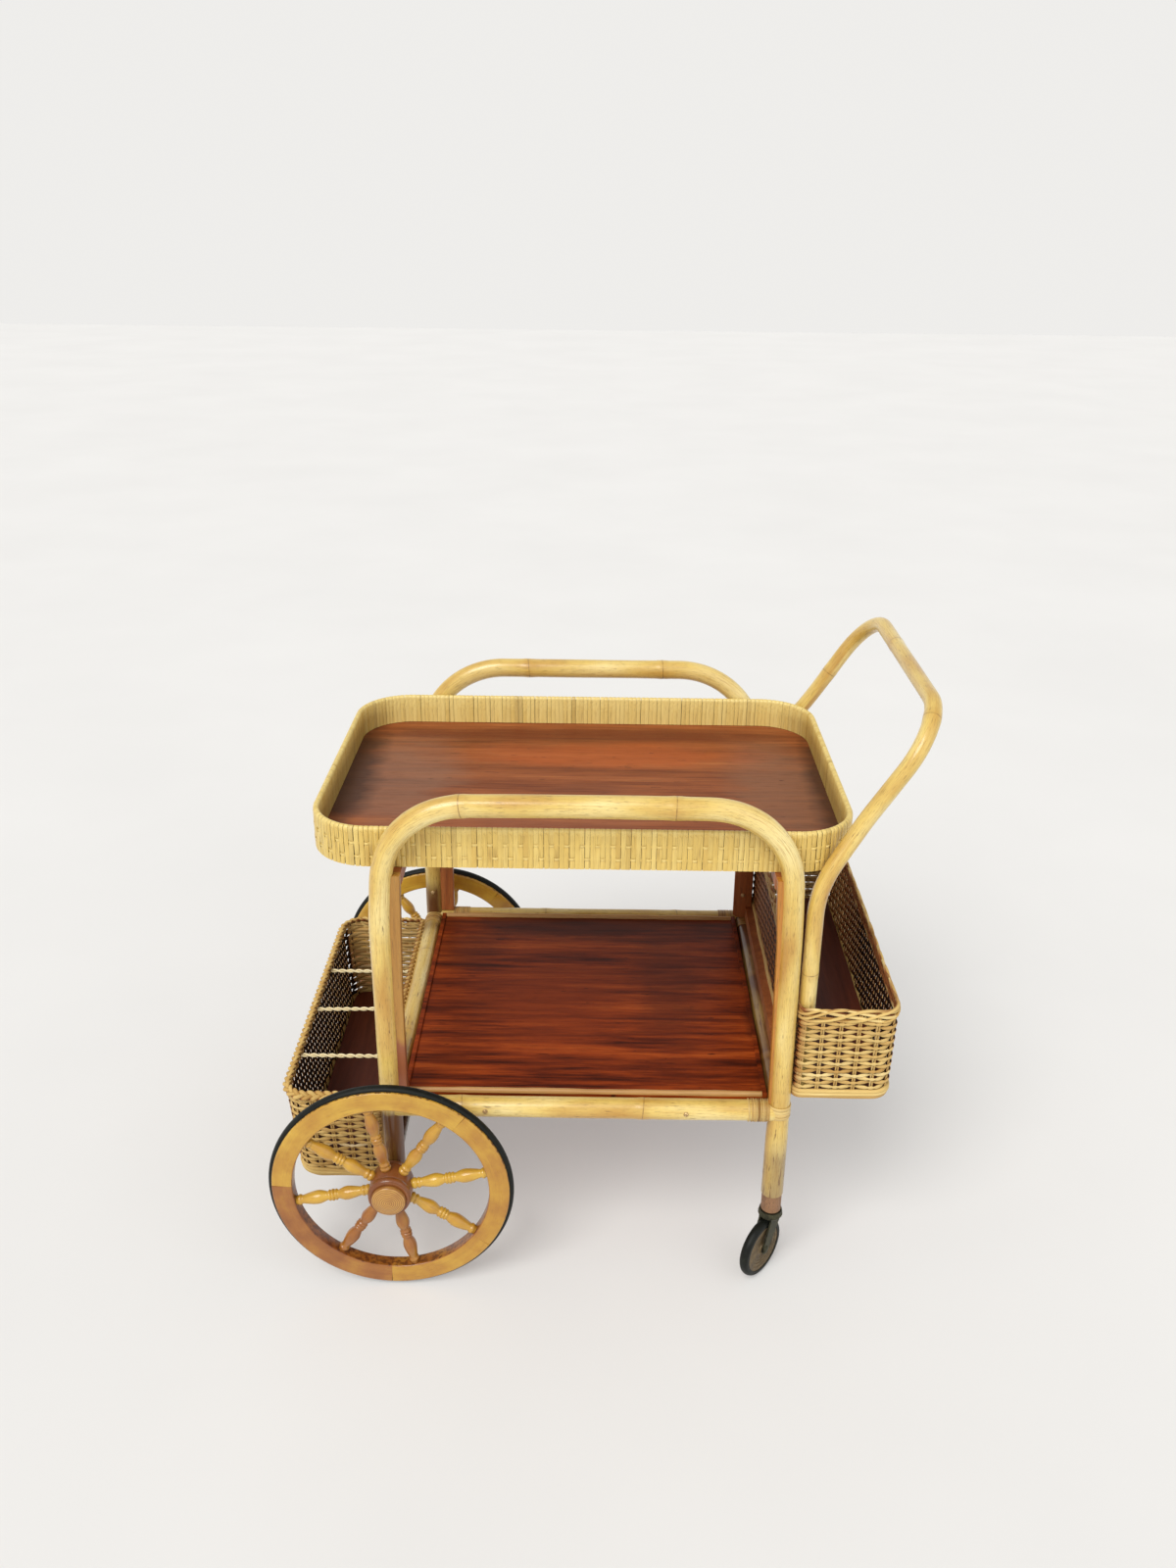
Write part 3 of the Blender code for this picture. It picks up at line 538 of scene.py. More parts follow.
def wheel_wood(name, stops, dark, worn):
    """Lacquered turned wood: grain along UV v, dark chips where age is high."""
    k = Nodes(name)
    tint = k.attribute("tint")
    shift = k.mul(tint, 23.0)
    band = k.noise("UV", (90.0, 9.0, 1.0), 3.0, 0.6, shift)
    fine = k.noise("UV", (620.0, 42.0, 1.0), 3.0, 0.7, shift)
    broad = k.noise("Object", (26.0, 26.0, 26.0), 3.0, 0.6)
    value = k.add(k.mul(tint, 0.6), k.mul(band, 0.25))
    col = k.ramp(k.add(value, k.span(broad, 0.3, 0.7, -0.02, 0.24)), stops)
    col = k.mix(k.mul(k.span(fine, 0.55, 0.75), 0.35), col, dark)
    chip = k.noise("Object", (160.0, 160.0, 160.0), 4.0, 0.7)
    edge = k.mul(k.sub(k.add(chip, k.attribute("wear_and_shade")), 1.12), 9.0, clamp=True)
    col = k.mix(k.mul(edge, 0.8), col, worn)
    return k.finish(col, k.span(fine, 0.3, 0.7, 0.26, 0.4), fine, 0.10, 0.0004, coat=0.4, coat_rough=0.14)


WHEEL = wheel_wood(
    "wheel_wood", [(0.15, 126, 68, 22), (0.35, 154, 96, 34), (0.55, 180, 130, 40), (0.8, 204, 162, 56)],
    (104, 56, 18), (80, 38, 14),
)
HUB = wheel_wood(
    "hub_wood", [(0.2, 100, 52, 20), (0.5, 124, 70, 30), (0.8, 150, 92, 42)], (80, 42, 16), (64, 32, 12),
)


def end_grain():
    """Hub cap: rings round the centre."""
    k = Nodes("hub_end_grain")
    at = k.place()
    r = k.far(at[0], at[2])
    wob = k.noise("Object", (60.0, 60.0, 60.0), 2.0)
    wave = k.math("SINE", k.add(k.mul(r, 2600.0), k.mul(wob, 7.0)))
    col = k.ramp(k.span(wave, -1.0, 1.0), [(0.0, 146, 94, 40), (0.5, 172, 124, 56), (1.0, 192, 148, 74)])
    col = k.mix(k.span(wob, 0.45, 0.7, 0.0, 0.35), col, (132, 76, 34))
    return k.finish(col, k.span(wob, 0.3, 0.7, 0.28, 0.42), wave, 0.06, 0.0003, coat=0.35, coat_rough=0.16)


def rubber_material():
    """Old black rubber, dusty grey in places."""
    k = Nodes("tyre_rubber")
    n = k.noise("Object", (90.0, 90.0, 90.0), 4.0, 0.6)
    fine = k.noise("Object", (900.0, 900.0, 900.0), 2.0, 0.6)
    col = k.ramp(n, [(0.35, 12, 14, 11), (0.6, 20, 23, 18), (0.75, 38, 40, 32)])
    return k.finish(col, k.span(n, 0.3, 0.7, 0.42, 0.60), fine, 0.12, 0.0003, specular=0.22)


def metal_material(name, light, dark, rough, metallic, scale):
    """Metal with tarnish in spots of the given scale."""
    k = Nodes(name)
    n = k.noise("Object", (scale, scale, scale), 5.0, 0.7)
    fine = k.noise("Object", (scale * 6, scale * 6, scale * 6), 3.0, 0.6)
    col = k.ramp(n, [(0.35, *dark), (0.62, *light)])
    return k.finish(col, k.span(n, 0.3, 0.7, rough, rough + 0.2), fine, 0.15, 0.0002, metallic=metallic)


END_GRAIN = end_grain()
RUBBER = rubber_material()
STEEL = metal_material("axle_steel", (176, 174, 168), (110, 104, 96), 0.30, 1.0, 120.0)
CASTER_METAL = metal_material("caster_metal", (80, 78, 58), (38, 38, 28), 0.42, 0.75, 90.0)
DISC = metal_material("caster_disc", (118, 98, 66), (74, 60, 38), 0.45, 0.15, 70.0)
# The brass colour is made paler to paint in the screw heads' highlight.
SCREW = metal_material("screw_brass", (226, 196, 140), (122, 82, 46), 0.24, 0.55, 500.0)


# -------------------------------------------------------------------- poles
def pole(name, points, radius, marks, stands_for, first=(0, 1, 0), sides=32, seed=1, wear_and_shade=None, swell=None):
    """Rattan pole along a fine path, swollen and scarred at each node."""
    rng = random.Random(seed)
    pts = resample(points, 0.004)
    s = arc_length(pts)
    n = len(pts)
    ang = np.arange(sides) * 2 * pi / sides
    mark = np.full((n, sides), 1.0)
    for m in marks:
        phase = rng.uniform(0, 2 * pi)
        slant = rng.uniform(0.0004, 0.0022)
        d = s[:, None] - m + slant * np.cos(ang[None, :] - phase)
        mark = np.where(np.abs(d) < np.abs(mark), d, mark)
    radial = 1.0 + 0.050 * np.exp(-((mark / 0.0075) ** 2))
    radial = radial - 0.030 * np.exp(-(((mark - 0.0012) / 0.0010) ** 2))
    p0, p1 = rng.uniform(0, 6), rng.uniform(0, 6)
    slow = 0.010 * np.sin(s * 17.0 + p0) + 0.007 * np.sin(s * 41.0 + p1)
    lobes = 0.006 * np.sin(2 * ang[None, :] + 3.0 * np.sin(s[:, None] * 6.0) + p0)
    radial = radial + slow[:, None] + lobes - 0.012
    if swell is not None:
        radial = radial + swell(pts)[:, None]
    wear_and_shade_values = np.zeros(n) if wear_and_shade is None else wear_and_shade(pts)
    b = Builder()
    sweep(b, pts, circle(radius, sides), first=first, radial=radial, tint=rng.random(), mark=mark.ravel(),
          wear_and_shade=wear_and_shade_values)
    b.make(name, POLE, "frame", "rattan_pole", stands_for, sharp=50)


def hoop_points(y):
    """Middle line of a hoop from the left foot to the right one."""
    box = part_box("hoop_near" if y < 0 else "hoop_far")
    top = box[1].z - POLE_R
    r = HOOP_BEND["near" if y < 0 else "far"]
    cx = LEG_X - r
    out = [(-LEG_X, y, LEFT_FOOT), (-LEG_X, y, top - r)]
    for k in range(1, 33):
        a = radians(180 - 90 * k / 32)
        out.append((-cx + r * cos(a), y, top - r + r * sin(a)))
    for k in range(33):
        a = radians(90 - 90 * k / 32)
        out.append((cx + r * cos(a), y, top - r + r * sin(a)))
    out.append((LEG_X, y, RIGHT_FOOT))
    if y > 0:
        return [(x + SHIFT, yy, z) for x, yy, z in out]
    lived = []
    for x, yy, z in resample(out, 0.008):
        ease = exp(-(((z - 0.61) / 0.045) ** 2))       # the bends start gently
        if x > 0.0:
            lean = -0.003 * clip01((z - 0.28) / 0.27) * (1 - clip01((z - 0.60) / 0.12)) - 0.0022 * ease
        else:
            lean = 0.0038 * ease
        crown = 0.0012 * max(0.0, 1 - (x / 0.16) ** 2) if z > 0.6 else 0.0
        lived.append((x + lean + SHIFT, yy, z + crown))
    return lived


def lower_leg_darkening(pts):
    """Lower legs are browner, the left one most of all."""
    z = pts[:, 2]
    left = np.clip((0.268 - z) / 0.014, 0, 1) * 1.25 * (pts[:, 0] < 0)
    right = np.clip((0.25 - z) / 0.06, 0, 1) * 0.80 * (pts[:, 0] > 0)
    return left + right


def far_leg_shade(pts):
    """Painted shade of the tray: the far legs are brown up to a little above the shelf."""
    z = pts[:, 2]
    return np.clip((0.365 - z) / 0.05, 0, 1) * 1.05


def near_swell(pts):
    """The lower right leg is a little thicker, and so is the top bar."""
    low = np.clip((0.25 - pts[:, 2]) / 0.03, 0, 1) * (pts[:, 0] > 0)
    return 0.055 * low + 0.02 * (pts[:, 2] > 0.68)


pole("hoop_near_pole", hoop_points(-LEG_Y), POLE_R, [0.13, 0.6155, 0.8740], stands_for=("hoop_near",),
     seed=3, wear_and_shade=lower_leg_darkening, swell=near_swell)
pole("hoop_far_pole", hoop_points(LEG_Y), POLE_R, [0.10, 0.6675, 0.8740, 1.42], stands_for=("hoop_far",),
     seed=8, wear_and_shade=far_leg_shade)


def left_rail_darkening(pts):
    """Darker towards the near end, with one dark patch near the far end."""
    return np.clip((-0.04 - pts[:, 1]) / 0.10, 0, 1) + 0.9 * np.exp(-(((pts[:, 1] - 0.20) / 0.03) ** 2))


def right_rail_shade(pts):
    """Painted shade: brown all along, a little uneven."""
    return 1.15 + 0.15 * np.sin(pts[:, 1] * 40)


for side, y in (("near", -LEG_Y), ("far", LEG_Y)):
    half = LEG_X - 0.006
    marks = [0.09, 0.33] if side == "near" else [0.18, 0.40]
    pole(f"shelf_rail_{side}_pole", [(-half + SHIFT, y, RAIL_Z), (half + SHIFT, y, RAIL_Z)], POLE_R, marks,
         stands_for=(f"shelf_rail_{side}",), seed=21 if side == "near" else 22)
for end, x, marks in (("left", -LEG_X, [0.15, 0.37]), ("right", LEG_X, [0.10, 0.31])):
    half = LEG_Y - 0.006
    pole(f"cross_rail_{end}_pole", [(x + SHIFT, -half, RAIL_Z), (x + SHIFT, half, RAIL_Z)], POLE_R, marks,
         stands_for=(f"cross_rail_{end}",), first=(1, 0, 0), seed=31 if end == "left" else 32,
         wear_and_shade=left_rail_darkening if end == "left" else right_rail_shade)


def handle_points():
    """Middle line of the push handle: up from one foot, across and down to the other."""
    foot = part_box("push_handle")[0].z
    half = [
        (0.2885, -0.2445, foot),
        (0.2885, -0.2445, 0.596),
        (0.3352, -0.2240, 0.672),
        (0.4219, -0.2230, 0.8117),
    ]
    pts = half + [(x, -y, z) for x, y, z in reversed(half)]
    path = rounded_path(pts, [0.040, 0.025, 0.078, 0.078, 0.025, 0.040])
    return [(x + SHIFT - 0.0035 * clip01((0.66 - z) / 0.07), y, z) for x, y, z in resample(path, 0.006)]


pole("push_handle_pole", handle_points(), HANDLE_R, [0.172, 0.545, 0.80, 1.04, 1.35],
     stands_for=("push_handle",), sides=28, seed=44)


# ------------------------------------------- CAD pieces that keep their shape
def dress(node, mat, bevel=0.0):
    """New material, and eased edges, on a CAD piece."""
    obj = NODES[node]
    obj.data.materials.clear()
    obj.data.materials.append(mat)
    if bevel > 0:
        mod = obj.modifiers.new("soft_edge", "BEVEL")
        mod.width = bevel
        mod.segments = 2
        mod.limit_method = "ANGLE"
        mod.angle_limit = radians(40)


dress("basket_ledger", POST_WOOD, 0.0012)
dress("shelf_board", TEAK, 0.0008)
dress("tray_floor", TRAY_WOOD)
dress("basket_left_floor", FLOOR_WOOD)
dress("basket_right_floor", FLOOR_WOOD)
dress("axle", STEEL)
for side in ("near", "far"):
    dress(f"caster_{side}_ferrule", BARK)
    dress(f"caster_{side}_fork", CASTER_METAL, 0.0006)


def slab(name, levels, y0, y1, mat, node):
    """Upright board from levels [(z, x0, x1)] with eased edges, standing for a CAD piece."""
    rings = [[(x + SHIFT, y, z) for x, y in eased_box(x0, x1, y0, y1, 0.0015)] for z, x0, x1 in levels]
    n, m = len(rings), len(rings[0])
    faces, uvs = quads(n, m, False, [k * 0.002 for k in range(m + 1)], [z for z, _, _ in levels])
    faces.append(tuple(range(m - 1, -1, -1)))
    faces.append(tuple((n - 1) * m + k for k in range(m)))
    uvs += [(0.0, 0.0)] * (2 * m)
    b = Builder()
    b.add([p for ring in rings for p in ring], faces, uvs)
    b.make(name, mat, "frame", "brown_wood", (node,), sharp=50)


SNUG = LEG_X - POLE_R + 0.0045      # posts are scribed to the round legs
POST_LOW, POST_HIGH = (corner.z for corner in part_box("post_near_left"))
POST_HALF = 0.006
POST_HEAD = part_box("tray_bearer_left")[1].z - 0.0003
edges = (POST_LOW, -0.2350), (0.36, -0.2349), (0.45, -0.2345), (POST_HEAD, -0.2298)
levels = [(z, -SNUG, x) for z, x in edges]
slab("post_near_left_board", levels, -LEG_Y - POST_HALF, -LEG_Y + POST_HALF, LEFT_POST, "post_near_left")
levels = [(POST_LOW, 0.2434, SNUG), (0.42, 0.2405, SNUG), (0.52, 0.2383, SNUG), (POST_HEAD, 0.2325, SNUG)]
slab("post_near_right_board", levels, -LEG_Y - POST_HALF, -LEG_Y + POST_HALF, ORANGE_POST, "post_near_right")
levels = [(POST_LOW, -SNUG, -0.2262), (POST_HIGH, -SNUG, -0.2258)]
slab("post_far_left_board", levels, LEG_Y - 0.008, LEG_Y + 0.008, POST_WOOD, "post_far_left")
for side, x0, x1 in (("left", -0.2425, -0.2300), ("right", 0.2318, 0.2425)):
    lo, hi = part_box(f"tray_bearer_{side}")
    levels = [(lo.z, x0, x1), (hi.z, x0, x1)]
    slab(f"tray_bearer_{side}_bar", levels, -LEG_Y + 0.0064, LEG_Y - 0.0006, POST_WOOD, f"tray_bearer_{side}")
# the far right post is a board across the front of its leg
BOARD_Y = LEG_Y - POLE_R - 0.0060
levels = []
for drop in range(9):
    a = radians(90 - 11.25 * drop)
    inset = 0.0100 * (1 - cos(a))
    levels.append((POST_LOW + 0.0006 + 0.0070 * (1 - sin(a)), 0.2400 + inset, 0.2700 - inset))
levels.append((POST_HIGH, 0.2390, 0.2690))
slab("post_far_right_board", levels, BOARD_Y, BOARD_Y + 0.0062, POST_WOOD, "post_far_right")


def shelf_trim(side):
    """Half-round strip, a little uneven along its length."""
    lo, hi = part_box(f"shelf_trim_{side}")
    rng = random.Random(5 if side == "near" else 6)
    n = 90
    xs = np.linspace(lo.x + 0.0005, hi.x - 0.0005, n)
    mid = (lo.y + hi.y) / 2
    half = (hi.y - lo.y) / 2
    ph = [rng.uniform(0, 6) for _ in range(3)]
    wob = 0.06 * np.sin(xs * 23 + ph[0]) + 0.05 * np.sin(xs * 57 + ph[1]) + 0.02 * np.sin(xs * 131 + ph[2])
    pts = np.stack([xs, np.full(n, mid), np.full(n, lo.z)], 1)
    sec = [(0.0, half)] + [
        (sin(radians(a)) * (hi.z - lo.z), cos(radians(a)) * half) for a in range(12, 180, 13)
    ] + [(0.0, -half)]
    b = Builder()
    sweep(b, pts, sec, normals=np.tile((0, 0, 1.0), (n, 1)), scale=0.95 + wob)
    b.make(f"shelf_trim_{side}_strip", TRIM_WOOD, "frame", "trim_wood", (f"shelf_trim_{side}",), sharp=60)


for side in ("near", "far"):
    shelf_trim(side)


# --------------------------------------------------------------------- tray
TRAY_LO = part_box("tray_wall")[0]
TRAY_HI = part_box("tray_rim")[1]
TRAY_X = (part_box("tray_rim")[0].x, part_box("tray_rim")[1].x)
TRAY_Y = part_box("tray_rim")[1].y
TRAY_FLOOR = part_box("tray_floor")[1].z
TRAY_R = 0.078
TRAY_STRIPS = 342
STRIP_LOW = TRAY_LO.z + 0.0003
BAND_HIGH = STRIP_LOW + 0.58 * (TRAY_HI.z - STRIP_LOW)
BAND_LOW = STRIP_LOW + 0.24 * (TRAY_HI.z - STRIP_LOW)
STRIP_OUT = 0.0034        # from the wall's middle to the outer face of a strip


def tray_outline(inset):
    r = TRAY_R - inset
    return Outline(TRAY_X[0] + inset, TRAY_X[1] - inset, -TRAY_Y + inset, TRAY_Y - inset, r, r)


def tray_strips():
    """Flat cane up the outside, over the rim and down inside, woven over two hidden bands."""
    rng = random.Random(17)
    mid = tray_outline(0.0045)
    top = TRAY_HI.z - 0.0046
    b = Builder()
    pitch = 1.0 / TRAY_STRIPS
    for i in range(TRAY_STRIPS):
        f = (i + 0.5 + rng.uniform(-0.04, 0.04)) * pitch
        lean = rng.uniform(-0.05, 0.05) * pitch
        prof = []
        dips = {BAND_HIGH: i % 3 == 0, BAND_LOW: i % 3 == 1}
        zs = [STRIP_LOW, STRIP_LOW + 0.0035]
        for zc in (BAND_LOW, BAND_HIGH):
            zs += [zc + dz for dz in (-0.0045, -0.0022, 0.0, 0.0022, 0.0045)]
        zs += [top - 0.004, top]
        for z in zs:
            d = STRIP_OUT
            for zc, dip in dips.items():
                d += (-0.0017 if dip else 0.0004) * exp(-(((z - zc) / 0.0026) ** 2))
            prof.append((d, z))
        for k in range(1, 7):
            a = pi * k / 7
            prof.append((STRIP_OUT * cos(a), top + 0.0042 * sin(a)))
        prof += [(-STRIP_OUT, z) for z in (top, (top + TRAY_FLOOR) / 2, TRAY_FLOOR + 0.0004)]
        prof = np.asarray(prof)
        t = np.linspace(-0.5, 0.5, len(prof))
        xy, nor = mid.at(f + lean * t, prof[:, 0])
        pts = np.column_stack([xy, prof[:, 1]])
        grad = np.gradient(prof, axis=0)
        out = np.column_stack([nor * grad[:, 1:2], -grad[:, 0]])
        wide = mid.length * pitch * rng.uniform(0.94, 0.985)
        stained = 0.22 if rng.random() < 0.03 else 0.0
        inside = np.clip((0.0 - prof[:, 0]) / 0.0034, 0, 1)
        # Painted shade on the inner faces of the left and right walls; painted highlight on the inner face of
        # the far wall and along the crest of the rim.
        shadow = 0.45 * inside * np.abs(nor[:, 0]) ** 2 * (prof[:, 1] < top)
        crest = np.clip((prof[:, 1] - top + 0.0015) / 0.003, 0, 1)
        painted_highlight = 0.30 * inside * np.clip(nor[:, 1], 0, 1) + 0.20 * crest
        tint = np.clip(rng.gauss(0.60, 0.075) + painted_highlight, 0, 1)
        wear_and_shade = np.clip(stained + shadow + rng.gauss(0.0, 0.03), 0, 1)
        sweep(b, pts, flat_section(wide, 0.0011), normals=out, tint=tint, wear_and_shade=wear_and_shade)
    return b


def tray_bands():
    """The two horizontal bands that show as short dashes between the strips."""
    mid = tray_outline(0.0045)
    b = Builder()
    t = np.arange(TRAY_STRIPS * 4) / (TRAY_STRIPS * 4)
    strip = t * TRAY_STRIPS - 0.5
    nearest = np.round(strip)
    bell = np.exp(-(((strip - nearest) / 0.42) ** 2))
    for row, z in enumerate((BAND_HIGH, BAND_LOW)):
        show = (nearest.astype(int) % 3) == row
        xy, nor = mid.at(t, np.where(show, 0.0022 + 0.0016 * bell, 0.0022))
        pts = np.column_stack([xy, np.full(len(t), z)])
        sweep(b, pts, flat_section(0.0034, 0.0010), normals=flat3(nor), closed=True, tint=0.80)
    return b


def tray_core():
    """Dark wall hidden between the outer and the inner face of the strips."""
    out = tray_outline(0.0028)
    inn = tray_outline(0.0064)
    n = 240
    z0, z1 = TRAY_LO.z + 0.0006, TRAY_HI.z - 0.005
    loops = []
    for line, z in ((out, z0), (out, z1), (inn, z1), (inn, z0)):
        xy, _ = line.at(np.arange(n) / n)
        loops.append(np.column_stack([xy, np.full(n, z)]))
    b = Builder()
    b.add(np.concatenate(loops), *quads(4, n, True, np.arange(n + 1) / n, range(5)))
    return b


tray_strips().make("tray_cane_strips", CANE, "tray", "woven_cane", ("tray_wall", "tray_rim"), sharp=60)
tray_bands().make("tray_cane_bands", CANE, "tray", "woven_cane", sharp=60)
tray_core().make("tray_wall_core", CORE, "tray", "woven_cane", sharp=40)


# ------------------------------------------------------------------ baskets
STAKE_PITCH = 0.024         # pair to pair
TWIN = 0.0014               # from the middle of a pair to each of its stakes


class Basket:
    """Woven box: paired stakes, close rows of round reed, plaited or loose border, foot of thick reeds."""

    def __init__(self, name, x_in, x_out, half_y, z_lo, z_hi, taper, foot, seed, fade,
                 corner=0.022, gloom=0.94):
        self.name = name
        self.corner, self.gloom, self.fade = corner, gloom, fade
        self.x_in, self.x_out, self.half_y = x_in, x_out, half_y
        self.side = 1.0 if x_out > x_in else -1.0
        self.z_lo, self.z_hi, self.taper, self.foot = z_lo, z_hi, taper, foot
        self.rng = random.Random(seed)
        self.outlines = {}
        self.stakes = 2 * int(round(self.outline(z_hi).length / STAKE_PITCH / 2))

    def outline(self, z):
        key = round(z, 5)
        if key not in self.outlines:
            lean = self.taper * (z - self.z_lo) / (self.z_hi - self.z_lo) - self.taper - 0.002
            up = max(0.0, self.foot - (z - self.z_lo))
            curl = self.foot - sqrt(max(0.0, self.foot ** 2 - up ** 2))
            a = self.x_in + self.side * 0.0022
            c = self.x_out + self.side * (lean - curl)
            y = self.half_y + lean - curl
            line = Outline(self.side * a, self.side * c, -y, y, self.corner, 0.009)
            for plane in (line.pts, line.nor):
                plane[:, 0] *= self.side
            self.outlines[key] = line
        return self.outlines[key]

    def shade(self, nor):
        """Painted shade on the side that faces the frame."""
        return np.clip(0.05 + 0.36 * np.clip(-self.side * nor[..., 0], 0, 1), 0, 1)

    def inner_shade(self, xy, nor, ca):
        """Painted shade, with some real staining, darkens the weave on the inside of the long walls; the far
        end stays pale.
        """
        y = nor[:, 1]
        limit = np.where(y < -0.5, -0.10, 0.95)
        depth = np.where(y > 0.5, 0.12, self.gloom * (1 - self.fade * np.clip(xy[:, 1] / 0.2 + 0.3, 0, 1)))
        return np.clip((limit[:, None] - ca[None, :]) / 0.45, 0, 1) * depth[:, None]

    def row(self, b, z, phase, half_h, half_w, wave):
        """One reed that passes outside one pair of stakes and inside the next."""
        line = self.outline(z)
        n = self.stakes * 6
        t = np.arange(n) / n
        stake = t * self.stakes
        gap = np.abs(stake - np.round(stake)) * line.length / self.stakes
        _, face = line.at(t)
        closed = (face[:, 1] > 0.3) | (face[:, 0] * self.side < -0.3)
        off = wave * np.where(closed, 0.5, 1.0) * np.cos(pi * stake + pi * phase)
        wob = self.rng.uniform(0, 6)
        dz = 0.0005 * np.sin(2 * pi * t * 5 + wob) + 0.0003 * np.sin(2 * pi * t * 17 + wob)
        xy, nor = line.at(t, off)
        slim = 1 - 0.50 * np.where(closed, 0.10, 1.0) * np.exp(-(((gap - 0.0044) / 0.0018) ** 2))
        hh = half_h * slim * np.where(closed, 1.12, 1.0)
        half_w = half_w * np.where(closed, 1.0, slim)
        pts = np.column_stack([xy, z + dz])
        tan = tangents(pts, True)
        out = square_to(tan, flat3(nor))
        up = np.cross(tan, out)
        sides = 8
        ca, sa = circle(1.0, sides).T
        verts = (pts[:, None, :] + (half_w[:, None] * ca[None, :])[..., None] * out[:, None, :]
                 + (hh[:, None] * sa[None, :])[..., None] * up[:, None, :])
        wear_and_shade = self.shade(nor)[:, None] + self.inner_shade(xy, nor, ca)
        wear_and_shade = np.clip(wear_and_shade + 0.10 * self.rng.random(), 0, 0.94).ravel()
        tint = clip01(self.rng.gauss(0.55, 0.16))
        u = np.arange(sides + 1) * 0.0017
        faces, uvs = quads(n, sides, True, u, np.arange(n + 1) / n * line.length)
        b.add(verts.reshape(-1, 3), faces, uvs, tint, 1.0, wear_and_shade)

    def rows(self, z0, z1, pitch):
        """Rows that pass the stakes by turns outside and inside."""
        b = Builder()
        count = int(round((z1 - z0) / pitch))
        for j in range(count):
            z = z0 + (z1 - z0) * j / max(1, count - 1)
            self.row(b, z, j, pitch * 0.505, 0.0017, 0.0021)
        return b

    def posts(self, z0, z1):
        """Stakes in pairs, with painted shade where they face into the basket."""
        b = Builder()
        for i in range(self.stakes):
            for twin in (-1, 1):
                pts = []
                for k in range(9):
                    z = z0 + (z1 - z0) * k / 8
                    line = self.outline(z)
                    xy, nor = line.at(i / self.stakes + twin * TWIN / line.length)
                    pts.append((xy[0], xy[1], z))
                own = float(self.shade(nor)) + 0.10
                inside = np.cos(np.arange(6) * pi / 3) < 0.3
                wear_and_shade = np.tile(np.where(inside & (abs(nor[0]) > 0.7), 0.85, own), 9)
                tint = self.rng.gauss(0.6, 0.12)
                sweep(b, pts, circle(0.0011, 6), first=(nor[0], nor[1], 0), tint=tint, wear_and_shade=wear_and_shade)
        return b

    def rope(self, b, z, radius, strands, turns, strand_r):
        """Twisted strands that run round just under the plait."""
        line = self.outline(z)
        n = 540
        t = np.arange(n) / n
        for m in range(strands):
            a = 2 * pi * (turns * t + m / strands) + 0.5 * np.sin(2 * pi * 7 * t)
            swell = 1 + 0.12 * np.sin(2 * pi * 9 * t + m)
            xy, nor = line.at(t, 0.0002 + radius * swell * np.cos(a))
            pts = np.column_stack([xy, z + radius * swell * np.sin(a)])
            # Painted shade on the inner side of each strand.
            inward = np.clip(-np.cos(a), 0, 1) * 0.30
            wear_and_shade = np.clip(0.4 * self.shade(nor) + inward, 0, 0.8)
            tint = self.rng.gauss(0.62, 0.12)
            sweep(b, pts, circle(strand_r, 8), normals=flat3(nor), closed=True, tint=tint, wear_and_shade=wear_and_shade)

    def loose_border(self, b, z, tall, deep, turns, strand_r):
        """Two sets of reeds that cross each other diagonally."""
        line = self.outline(self.z_hi)
        n = 720
        t = np.arange(n) / n
        for sign in (1.0, -1.0):
            for m in range(4):
                drift = 0.35 * np.sin(2 * pi * 5 * t + m + sign) + 0.2 * np.sin(2 * pi * 13 * t + 2 * m)
                a = sign * 2 * pi * (turns * t + m / 4) + drift
                xy, nor = line.at(t, 0.0002 + 0.0005 * sign + deep * np.cos(a))
                pts = np.column_stack([xy, z + tall * np.sin(a)])
                # Painted shade on the inner side of the border reeds.
                inward = np.clip(-np.cos(a) + 0.15, 0, 1) * 0.62
                wear_and_shade = np.clip(0.5 * self.shade(nor) + inward, 0, 0.85)
                size = 1 + 0.15 * np.sin(2 * pi * 3 * t + 2 * m)
                sweep(b, pts, circle(strand_r, 8), normals=flat3(nor), closed=True, scale=size,
                      tint=clip01(self.rng.gauss(0.6, 0.16)), wear_and_shade=wear_and_shade)

    def plait(self, b, z, wide, deep, turns, strand_r):
        """Flat three-strand plait that faces up and out."""
        line = self.outline(self.z_hi)
        n = 1100
        t = np.arange(n) / n
        c, s = cos(radians(50)), sin(radians(50))
        for m in range(3):
            p = 2 * pi * (turns * t + m / 3)
            lat = wide * np.sin(p)
            dep = deep * np.sin(2 * p)
            xy, nor = line.at(t, 0.0004 - lat * s + dep * c)
            pts = np.column_stack([xy, z + lat * c + dep * s])
            normals = np.column_stack([nor * c, np.full(n, s)])
            # Painted shade where a strand dips under the others.
            wear_and_shade = np.clip(0.3 * self.shade(nor) + 0.65 * np.clip(-dep / deep, 0, 1), 0, 0.9)
            sweep(b, pts, circle(strand_r, 8, 1.25), normals=normals, closed=True,
                  tint=clip01(0.36 + 0.13 * (m - 1) + self.rng.gauss(0.05, 0.03)), wear_and_shade=wear_and_shade)

    def border(self, plaited):
        b = Builder()
        if plaited:
            self.plait(b, self.z_hi - 0.0064, 0.0044, 0.0018, 34, 0.0023)
            self.rope(b, self.z_hi - 0.0135, 0.0020, 2, 30, 0.0021)
        else:
            self.loose_border(b, self.z_hi - 0.0105, 0.0082, 0.0015, 8, 0.0019)
        return b

